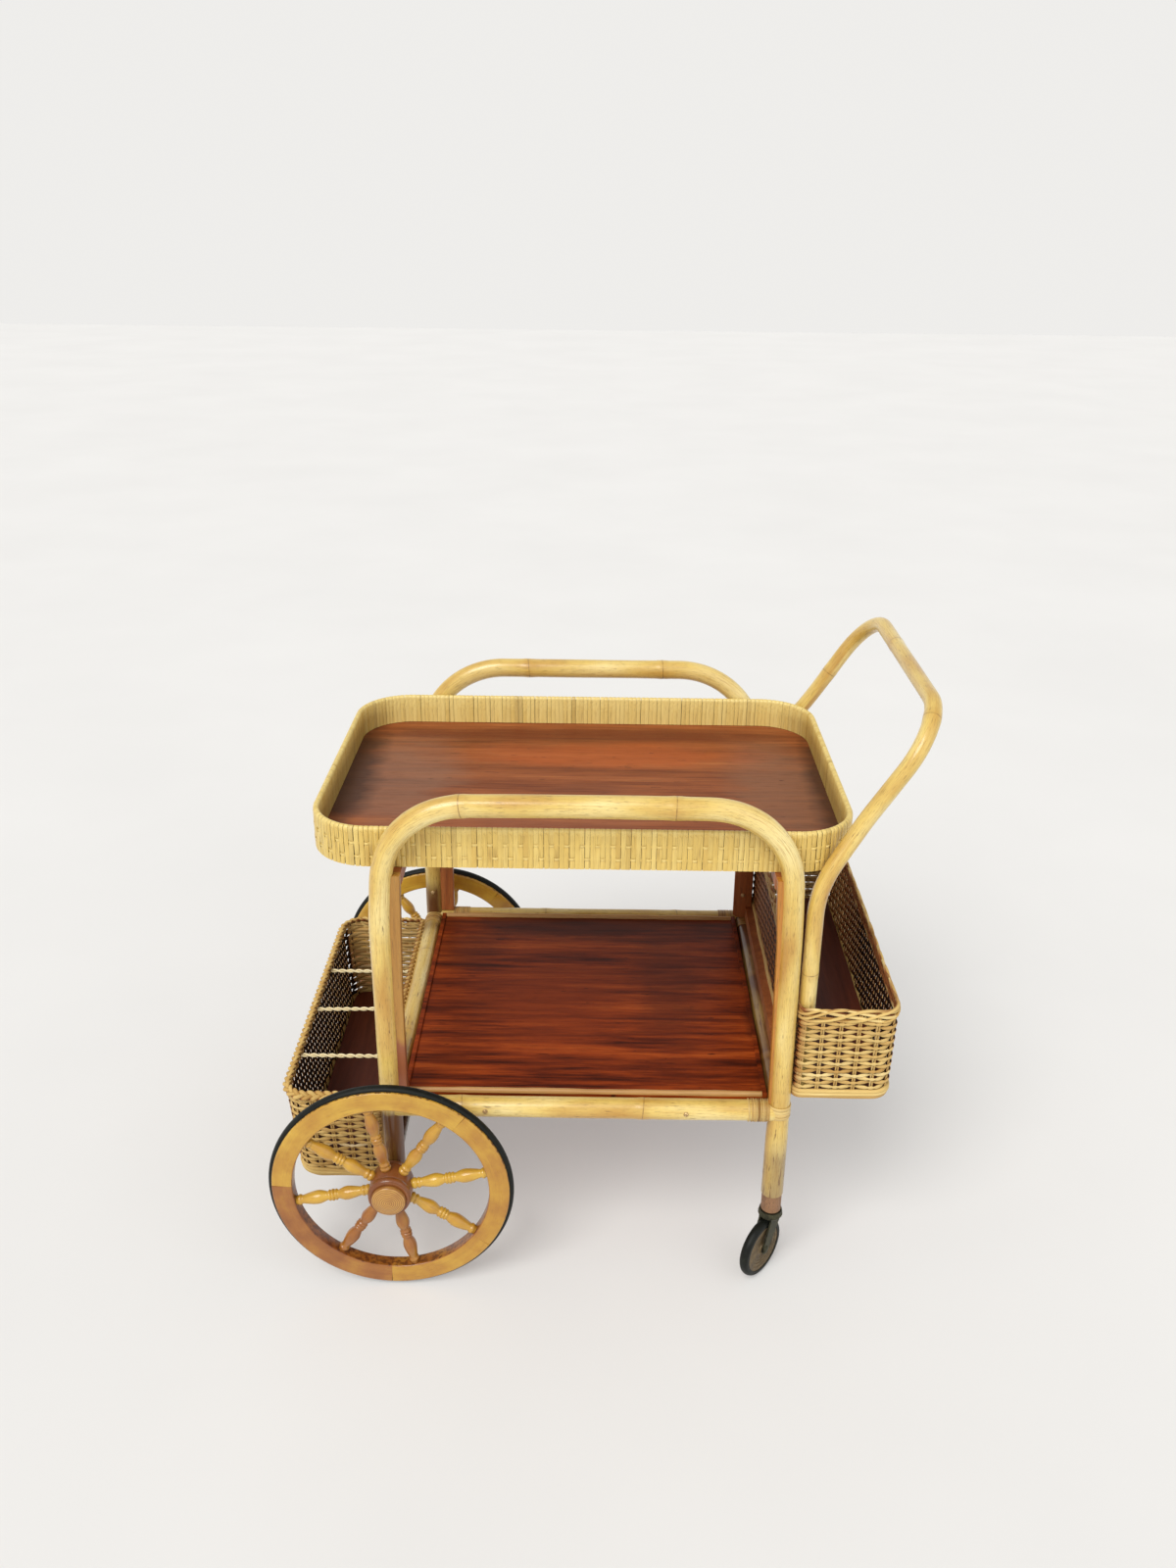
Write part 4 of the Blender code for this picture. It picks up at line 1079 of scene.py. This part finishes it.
    def foot_rows(self, top, count, r):
        """Thick reeds stacked round the foot, the lowest a little darker."""
        b = Builder()
        for j in range(count):
            z = self.z_lo + r + (top - self.z_lo - r) * j / count
            line = self.outline(z)
            n = 360
            t = np.arange(n) / n
            wob = self.rng.uniform(0, 6)
            xy, nor = line.at(t, 0.0010 + 0.0004 * np.sin(2 * pi * t * 11 + wob))
            pts = np.column_stack([xy, z + 0.0004 * np.sin(2 * pi * t * 7 + wob)])
            wear_and_shade = np.clip(0.55 * self.shade(nor) + (0.18 if j == 0 else 0.0), 0, 0.8)
            tint = self.rng.gauss(0.62, 0.08)
            sweep(b, pts, circle(r, 10), normals=flat3(nor), closed=True, tint=tint, wear_and_shade=wear_and_shade)
        return b

    def build(self, row0, row1, pitch, foot_top, foot_count, foot_r, plaited):
        rows = self.rows(row0, row1, pitch)
        walls = self.name + "_wall", self.name + "_rim"
        rows.make(self.name + "_weave", REED, "frame", "basket_reed", walls)
        for part, b in (
            ("stakes", self.posts(self.z_lo + 0.004, self.z_hi - 0.010)), ("border", self.border(plaited)),
            ("foot", self.foot_rows(foot_top, foot_count, foot_r)),
        ):
            b.make(f"{self.name}_{part}", REED, "frame", "basket_reed")


left_rim, right_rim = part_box("basket_left_rim"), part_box("basket_right_rim")
left_low, right_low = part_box("basket_left_wall")[0].z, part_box("basket_right_wall")[0].z
left_high, right_high = left_rim[1].z, right_rim[1].z
left = Basket(
    "basket_left", left_rim[1].x, left_rim[0].x + 0.0015, left_rim[1].y - 0.002, left_low, left_high,
    0.010, 0.010, 61, 0.0, corner=0.030, gloom=0.96,
)
right = Basket(
    "basket_right", right_rim[0].x, right_rim[1].x - 0.003, right_rim[1].y - 0.003, right_low, right_high,
    0.002, 0.007, 62, 0.60,
)
left.build(left_low + 0.0185, left_high - 0.0190, 0.0054, left_low + 0.0165, 4, 0.0026, True)
right.build(right_low + 0.0190, right_high - 0.0230, 0.00565, right_low + 0.0160, 3, 0.0031, False)


def twisted_cord(index):
    """Basket divider of two strands; the middle one rises a little towards the frame."""
    lo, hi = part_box(f"basket_divider_{index}")
    y = (lo.y + hi.y) / 2
    z = (lo.z + hi.z) / 2
    b = Builder()
    n = 120
    x = np.linspace(lo.x - 0.001, hi.x + 0.001, n)
    for m in range(2):
        a = 2 * pi * ((x - lo.x) / 0.026 + m / 2)
        rise = (0.0, 0.0030, 0.0)[index - 1] * (x - lo.x) / (hi.x - lo.x)
        pts = np.column_stack([x, y + 0.0016 * np.cos(a), z + rise + 0.0016 * np.sin(a)])
        nor = np.column_stack([np.zeros(n), np.cos(a), np.sin(a)])
        sweep(b, pts, circle(0.0016, 8), normals=nor, tint=0.95)
    b.make(f"basket_divider_{index}_cord", CORD, "frame", "woven_cane", (f"basket_divider_{index}",))


for index in (1, 2, 3):
    twisted_cord(index)


# ------------------------------------------------------------------- wheels
AXLE_X = -0.257 + SHIFT
WHEEL_Y = 0.297             # middle of the tyre, from the middle of the cart
SPOKE_START = {"near": 11.4, "far": 32.7}
FELLOE_JOINTS = (50.0, 178.0, 268.0, 325.0)
FELLOE_TINT = (0.66, 0.17, 0.58, 0.50)
SPOKE_TINT = (0.80, 0.62, 0.36, 0.66, 0.74, 0.18, 0.30, 0.72)
SPOKE_SHAPE = (
    (0.000, 5.2), (0.018, 5.3), (0.026, 6.2), (0.046, 6.5), (0.062, 6.1), (0.070, 5.2), (0.080, 5.2),
    (0.088, 6.0), (0.104, 6.2), (0.118, 5.8), (0.126, 5.0), (0.150, 5.2), (0.200, 6.2), (0.260, 7.3),
    (0.315, 7.9), (0.355, 7.5), (0.395, 6.3), (0.425, 5.2), (0.440, 4.9), (0.448, 5.8), (0.462, 6.6),
    (0.476, 5.9), (0.484, 5.4), (0.492, 6.4), (0.506, 6.9), (0.520, 6.3), (0.528, 5.4), (0.536, 6.0),
    (0.550, 6.5), (0.564, 5.8), (0.572, 5.0), (0.590, 5.3), (0.630, 6.6), (0.675, 7.7), (0.720, 7.9),
    (0.775, 7.4), (0.840, 6.2), (0.895, 5.1), (0.915, 4.9), (0.924, 5.8), (0.940, 6.3), (0.958, 5.9),
    (0.968, 5.2), (1.000, 5.1),
)


def wheel(side, sy):
    """Tyre, four felloes, hub with end-grain cap, eight turned spokes."""
    name = body = "wheel_" + side
    out_by = WHEEL_OUT[side]
    y_mid = sy * (WHEEL_Y + out_by)
    centre = (AXLE_X, y_mid, WHEEL_R)

    def spot(c, s, r, h):
        return (AXLE_X + c * r, sy * (h + out_by), WHEEL_R + s * r)

    b = Builder()
    w, r0, r1 = 0.00625, WHEEL_R - 0.0056, WHEEL_R
    prof = [(r0, WHEEL_Y - w)]
    for a in range(0, 181, 12):
        t = radians(a)
        prof.append((r1 - 0.0046 + 0.0046 * sin(t), WHEEL_Y - w * cos(t)))
    prof += [(r0, WHEEL_Y + w), (r0, WHEEL_Y - w)]
    turned(b, prof, 144, spot)
    b.make(name + "_rubber", RUBBER, body, "tyre_rubber", (name + "_tyre",), centre, sharp=50)

    b = Builder()
    ri, ro = 0.1310, 0.1585
    mid_r, hr, hy = (ri + ro) / 2, (ro - ri) / 2, 0.0095
    e = 0.0016
    gap = degrees(0.00012 / 0.145)
    corners = eased_box(-hr, hr, -hy, hy, e)
    face = [((hr - e) * share, hy) for share in (0.66, 0.33, 0.0, -0.33, -0.66)]
    sec = np.asarray(corners[:4] + face + corners[4:12] + [(-x, -y) for x, y in face] + corners[12:])
    for start, end, tone in zip(FELLOE_JOINTS, (*FELLOE_JOINTS[1:], FELLOE_JOINTS[0] + 360), FELLOE_TINT):
        n = max(8, int((end - start) / 2.5))
        th = np.radians(np.linspace(start + gap, end - gap, n))
        pts = np.stack([AXLE_X + mid_r * np.cos(th), np.full(n, y_mid), WHEEL_R + mid_r * np.sin(th)], 1)
        nor = np.stack([np.cos(th), np.zeros(n), np.sin(th)], 1)
        edge = np.clip((np.abs(sec[:, 0]) - hr * 0.80) / (hr * 0.2), 0, 1) * 0.50
        inner = np.where(sec[:, 0] < -hr * 0.9, 0.30, 0.0)
        wear_and_shade = np.tile(edge + 0.16, n)
        tint = np.clip(np.tile(-inner, n) + tone, 0, 1)
        sweep(b, pts, sec, normals=nor, tint=tint, wear_and_shade=wear_and_shade)
    b.make(name + "_felloes", WHEEL, body, "wheel_wood", (name + "_rim",), centre, sharp=40)

    b = Builder()
    back, face = 0.2697, 0.3225
    prof = [
        (0.0055, back), (0.0180, back), (0.0210, back + 0.001), (0.0222, back + 0.003),
        (0.0215, back + 0.005), (0.0240, back + 0.007), (0.0275, back + 0.011),
        (0.0288, back + 0.016), (0.0290, back + 0.026),
        (0.0286, face - 0.013), (0.0276, face - 0.0115), (0.0288, face - 0.010), (0.0290, face - 0.007),
        (0.0284, face - 0.0045), (0.0270, face - 0.0030), (0.0276, face - 0.0018), (0.0268, face - 0.0003),
        (0.0250, face), (0.0236, face - 0.0006), (0.0215, face - 0.0006),
    ]
    turned(b, prof, 72, spot, tint=0.45, wear_and_shade=0.25)
    b.make(name + "_hub_body", HUB, body, "wheel_wood", (name + "_hub",), centre, sharp=50)
    b = Builder()
    prof = [
        (0.0220, face - 0.0010), (0.0226, face + 0.0015), (0.0226, face + 0.0036), (0.0218, face + 0.0050),
        (0.0206, face + 0.0058), (0.0196, face + 0.0056), (0.0186, face + 0.0061), (0.0160, face + 0.0068),
        (0.0152, face + 0.0066), (0.0145, face + 0.0070), (0.0080, face + 0.0077), (0.0, face + 0.0080),
    ]
    turned(b, prof, 72, spot, tint=0.7)
    b.make(name + "_hub_cap", END_GRAIN, body, "wheel_wood", (), centre, sharp=60)

    hub_r, rim_r = 0.0275, 0.1322
    for k in range(8):
        ang = radians(SPOKE_START[side] + 45 * k)
        out = np.array([cos(ang), 0, sin(ang)])
        across = np.array([-sin(ang), 0, cos(ang)])
        base = np.array(centre)

        def spoke_spot(c, s, r, h):
            return tuple(base + out * h + across * (r * c) + np.array([0.0, r * s, 0.0]))

        prof = [(0.00115 * r, hub_r + (rim_r - hub_r) * t) for t, r in SPOKE_SHAPE]
        prof = [(0.0, prof[0][1])] + prof + [(0.0, prof[-1][1])]
        b = Builder()
        tint = SPOKE_TINT[k] if side == "near" else SPOKE_TINT[(k * 3 + 1) % 8]
        groove = np.array([0.26 if r < 5.45 else 0.0 for _, r in SPOKE_SHAPE])
        wear_and_shade_values = np.concatenate([[0.0], np.repeat(groove, 24), [0.0]])
        turned(b, prof, 24, spoke_spot, tint=tint, wear_and_shade=wear_and_shade_values)
        spoke = f"{name}_spoke_{k + 1}"
        b.make(spoke + "_turned", WHEEL, body, "wheel_wood", (spoke,), centre, sharp=70)


wheel("near", -1.0)
wheel("far", 1.0)


# ------------------------------------------------------------------ casters
HEAD = radians(229.0)        # where the casters point in the photograph
TRAIL = 0.020
TRAVEL = np.array([cos(HEAD), sin(HEAD), 0.0])
ACROSS = np.array([-sin(HEAD), cos(HEAD), 0.0])


def caster(side, sy):
    """Rubber, grooved disc and the heads of the pin."""
    name = "caster_" + side
    pivot = np.array([LEG_X + SHIFT, sy * LEG_Y, 0.0])
    hub = pivot + TRAVEL * TRAIL + np.array([0, 0, CASTER_R])

    def spot(c, s, r, h):
        return tuple(hub + TRAVEL * (r * c) + np.array([0, 0, r * s]) + ACROSS * h)

    b = Builder()
    half = 0.0065
    r0, r1 = CASTER_R - 0.0085, CASTER_R
    prof = [(r0, -half), (r0 + 0.0025, -half)]
    for a in range(-80, 81, 16):
        t = radians(a)
        prof.append((r1 - 0.0052 + 0.0052 * cos(t), half * sin(t) / sin(radians(80))))
    prof += [(r0 + 0.0025, half), (r0, half), (r0, -half)]
    turned(b, prof, 72, spot)
    b.make(name + "_rubber", RUBBER, "roller_" + side, "tyre_rubber", (name + "_tyre",), tuple(hub), sharp=50)

    b = Builder()
    prof = [(0.0031, -half)]
    face = [
        (0.0078, 0.0), (0.0086, 0.0016), (0.0120, 0.0030), (0.0126, 0.0024), (0.0150, 0.0030),
        (0.0156, 0.0022), (0.0190, 0.0028), (0.0198, 0.0018), (0.0235, 0.0026), (0.0242, 0.0014),
        (0.0290, 0.0022), (0.0300, 0.0010), (r0, 0.0008),
    ]
    prof += [(r, -half + d) for r, d in face]
    prof += [(r, half - d) for r, d in reversed(face)]
    prof += [(0.0031, half), (0.0031, -half)]
    turned(b, prof, 60, spot)
    b.make(name + "_plate", DISC, "roller_" + side, "caster_disc", (name + "_disc",), tuple(hub), sharp=30)

    b = Builder()
    for sign in (-1, 1):
        h0 = sign * (half + 0.0015 + 0.0022)
        dome = (0.0058, -0.0004), (0.0056, 0.0008), (0.0036, 0.0016), (0.0, 0.0018)
        prof = [(r, h0 + sign * h) for r, h in dome]
        turned(b, prof, 24, spot)
    b.make(name + "_pin_heads", CASTER_METAL, "swivel_" + side, "caster_metal", sharp=60)


caster("near", -1.0)
caster("far", 1.0)


# --------------------------------------------------------- bindings, screws
def wraps(name, centre, axis, offsets, width, thick, seed, tint, wear_and_shade=0.1):
    """Rings of flat cane round a pole, each a little tilted."""
    rng = random.Random(seed)
    axis = np.asarray(axis, float)
    ref = np.array([0, 0, 1.0]) if abs(axis[2]) < 0.5 else np.array([1.0, 0, 0])
    u = np.cross(axis, ref)
    u /= np.linalg.norm(u)
    v = np.cross(axis, u)
    b = Builder()
    for off in offsets:
        n = 40
        a = np.arange(n) * 2 * pi / n
        tilt = rng.uniform(-0.0005, 0.0005)
        ring = np.cos(a)[:, None] * u + np.sin(a)[:, None] * v
        along = off + tilt * np.sin(a + rng.uniform(0, 6))
        pts = np.asarray(centre) + ring * (POLE_R + thick * 0.4) + axis * along[:, None]
        w = width * rng.uniform(0.85, 1.05)
        sweep(b, pts, flat_section(w, thick, 0.4), normals=ring, closed=True,
              tint=clip01(rng.gauss(tint, 0.18)), wear_and_shade=max(0, rng.gauss(wear_and_shade, 0.12)))
    b.make("binding_" + name, BINDING, "frame", "woven_cane", sharp=70)


def row_of(start, stop, pitch):
    return np.linspace(start, stop, int(round(abs(stop - start) / pitch)) + 1)


X, Y, Z = np.eye(3)
near_rail, far_rail = (SHIFT, -LEG_Y, RAIL_Z), (SHIFT, LEG_Y, RAIL_Z)
right_rail, left_rail = (LEG_X + SHIFT, 0, RAIL_Z), (-LEG_X + SHIFT, 0, RAIL_Z)
near_turns = np.concatenate([[0.2175], row_of(0.2215, 0.2435, 0.0031)])
cross_turns = row_of(0.2140, 0.2360, 0.0030)
wraps("near_rail_right", near_rail, X, near_turns, 0.0024, 0.0014, 71, 0.5, 0.12)
wraps("far_rail_left", far_rail, X, row_of(-0.2250, -0.2010, 0.0030), 0.0029, 0.0011, 72, 0.6)
wraps("far_rail_right", far_rail, X, row_of(0.2190, 0.2410, 0.0030), 0.0029, 0.0011, 73, 0.4, 0.25)
wraps("cross_right_far", right_rail, Y, cross_turns, 0.0029, 0.0011, 74, 0.4, 0.3)
wraps("cross_left_far", left_rail, Y, cross_turns, 0.0029, 0.0011, 75, 0.4, 0.3)
leg_turns = row_of(0.2600, 0.2745, 0.0048)
wraps("leg_near_right", (LEG_X + SHIFT, -LEG_Y, 0), Z, leg_turns, 0.0047, 0.0012, 76, 0.9, 0.0)


def screw(name, at, facing, r=0.0034):
    """Small domed screw head with a slot."""
    f = Vector(facing).normalized()
    side = f.orthogonal().normalized()
    up = f.cross(side)
    base = Vector(at)
    b = Builder()
    dome = (1.0, -0.0006), (1.0, 0.0004), (0.92, 0.0010), (0.72, 0.0016), (0.40, 0.0020), (0.0, 0.0021)
    prof = [(r * share, h) for share, h in dome]

    def spot(c, s, rad, h):
        slot = -0.0007 if abs(s * rad) < r * 0.16 and rad < r * 0.85 else 0.0
        return tuple(base + side * (rad * c) + up * (rad * s) + f * (h + slot))

    turned(b, prof, 28, spot)
    b.make(name, SCREW, "frame", "axle_steel", sharp=60)


for number, x in enumerate((-0.132, 0.134)):
    y, z = cos(radians(8)), sin(radians(8))
    for side, sy in (("near", -1), ("far", 1)):
        at = (x + SHIFT, sy * (LEG_Y + POLE_R * y), RAIL_Z + POLE_R * z)
        screw(f"rail_screw_{side}_{number + 1}", at, (0, sy * y, z))
screw("leg_screw_far_left", (-0.2595 + SHIFT, LEG_Y - POLE_R, 0.3150), (0, -1, 0), 0.0032)
screw("post_screw_far_right", (0.2546 + SHIFT, BOARD_Y, 0.3210), (0, -1, 0), 0.0036)


# ----------------------------------------------------- floor, light, camera
def floor():
    mesh = bpy.data.meshes.new("floor")
    s = 14.0
    mesh.from_pydata([(-s, -s, 0), (s, -s, 0), (s, s, 0), (-s, s, 0)], [], [(0, 1, 2, 3)])
    obj = bpy.data.objects.new("floor", mesh)
    obj.location = (0, 0, -0.0004)
    link(obj)
    k = Nodes("pale_floor")
    col = k.ramp(k.noise("Object", (1.5, 1.5, 1.5)), [(0.3, 196, 195, 193), (0.7, 200, 199, 197)])
    k.bsdf.inputs["Emission Color"].default_value = (1.0, 0.99, 0.975, 1.0)
    k.bsdf.inputs["Emission Strength"].default_value = 0.24
    mesh.materials.append(k.finish(col, 0.7, specular=0.2))


floor()


def sun(name, direction, strength, angle, colour):
    data = bpy.data.lights.new(name, "SUN")
    data.energy = strength
    data.angle = radians(angle)
    data.color = colour
    obj = bpy.data.objects.new(name, data)
    obj.rotation_euler = Vector(direction).to_track_quat("-Z", "Y").to_euler()
    link(obj)


sun("key", (0.45, 0.75, -1.0), 2.1, 32.0, (1.0, 0.985, 0.955))
sun("fill", (-0.8, 0.9, -0.7), 0.50, 60.0, (0.98, 0.99, 1.0))

world = bpy.data.worlds.new("studio")
bpy.context.scene.world = world
world.use_nodes = True
tree = world.node_tree
split = tree.nodes.new("ShaderNodeSeparateXYZ")
tree.links.new(tree.nodes.new("ShaderNodeTexCoord").outputs["Generated"], split.inputs[0])
ramp = tree.nodes.new("ShaderNodeValToRGB")
ramp.color_ramp.elements[0].position = 0.12
ramp.color_ramp.elements[0].color = (0.86, 0.85, 0.83, 1.0)
ramp.color_ramp.elements[1].position = 0.45
ramp.color_ramp.elements[1].color = (0.54, 0.54, 0.54, 1.0)
tree.links.new(split.outputs[2], ramp.inputs[0])
tree.links.new(ramp.outputs[0], tree.nodes["Background"].inputs[0])

cam_data = bpy.data.cameras.new("camera")
cam_data.sensor_width = 36.0
cam_data.lens = 30.0735
cam = bpy.data.objects.new("camera", cam_data)
link(cam)
# camera fitted to points measured on the photograph
pitch, yaw, roll = radians(24.119), radians(-0.355), radians(0.605)
ahead = Vector((sin(yaw), cos(yaw), 0))
aside = Vector((cos(yaw), -sin(yaw), 0))
look = ahead * cos(pitch) - Vector((0, 0, 1)) * sin(pitch)
above = Vector((0, 0, 1)) * cos(pitch) + ahead * sin(pitch)
cam_x = aside * cos(roll) + above * sin(roll)
cam_y = -aside * sin(roll) + above * cos(roll)
cam.matrix_world = Matrix((
    (cam_x.x, cam_y.x, -look.x, 0.0083 + SHIFT),
    (cam_x.y, cam_y.y, -look.y, -1.6723),
    (cam_x.z, cam_y.z, -look.z, 1.3722),
    (0, 0, 0, 1),
))
bpy.context.scene.camera = cam
bpy.context.scene.view_settings.view_transform = "Standard"
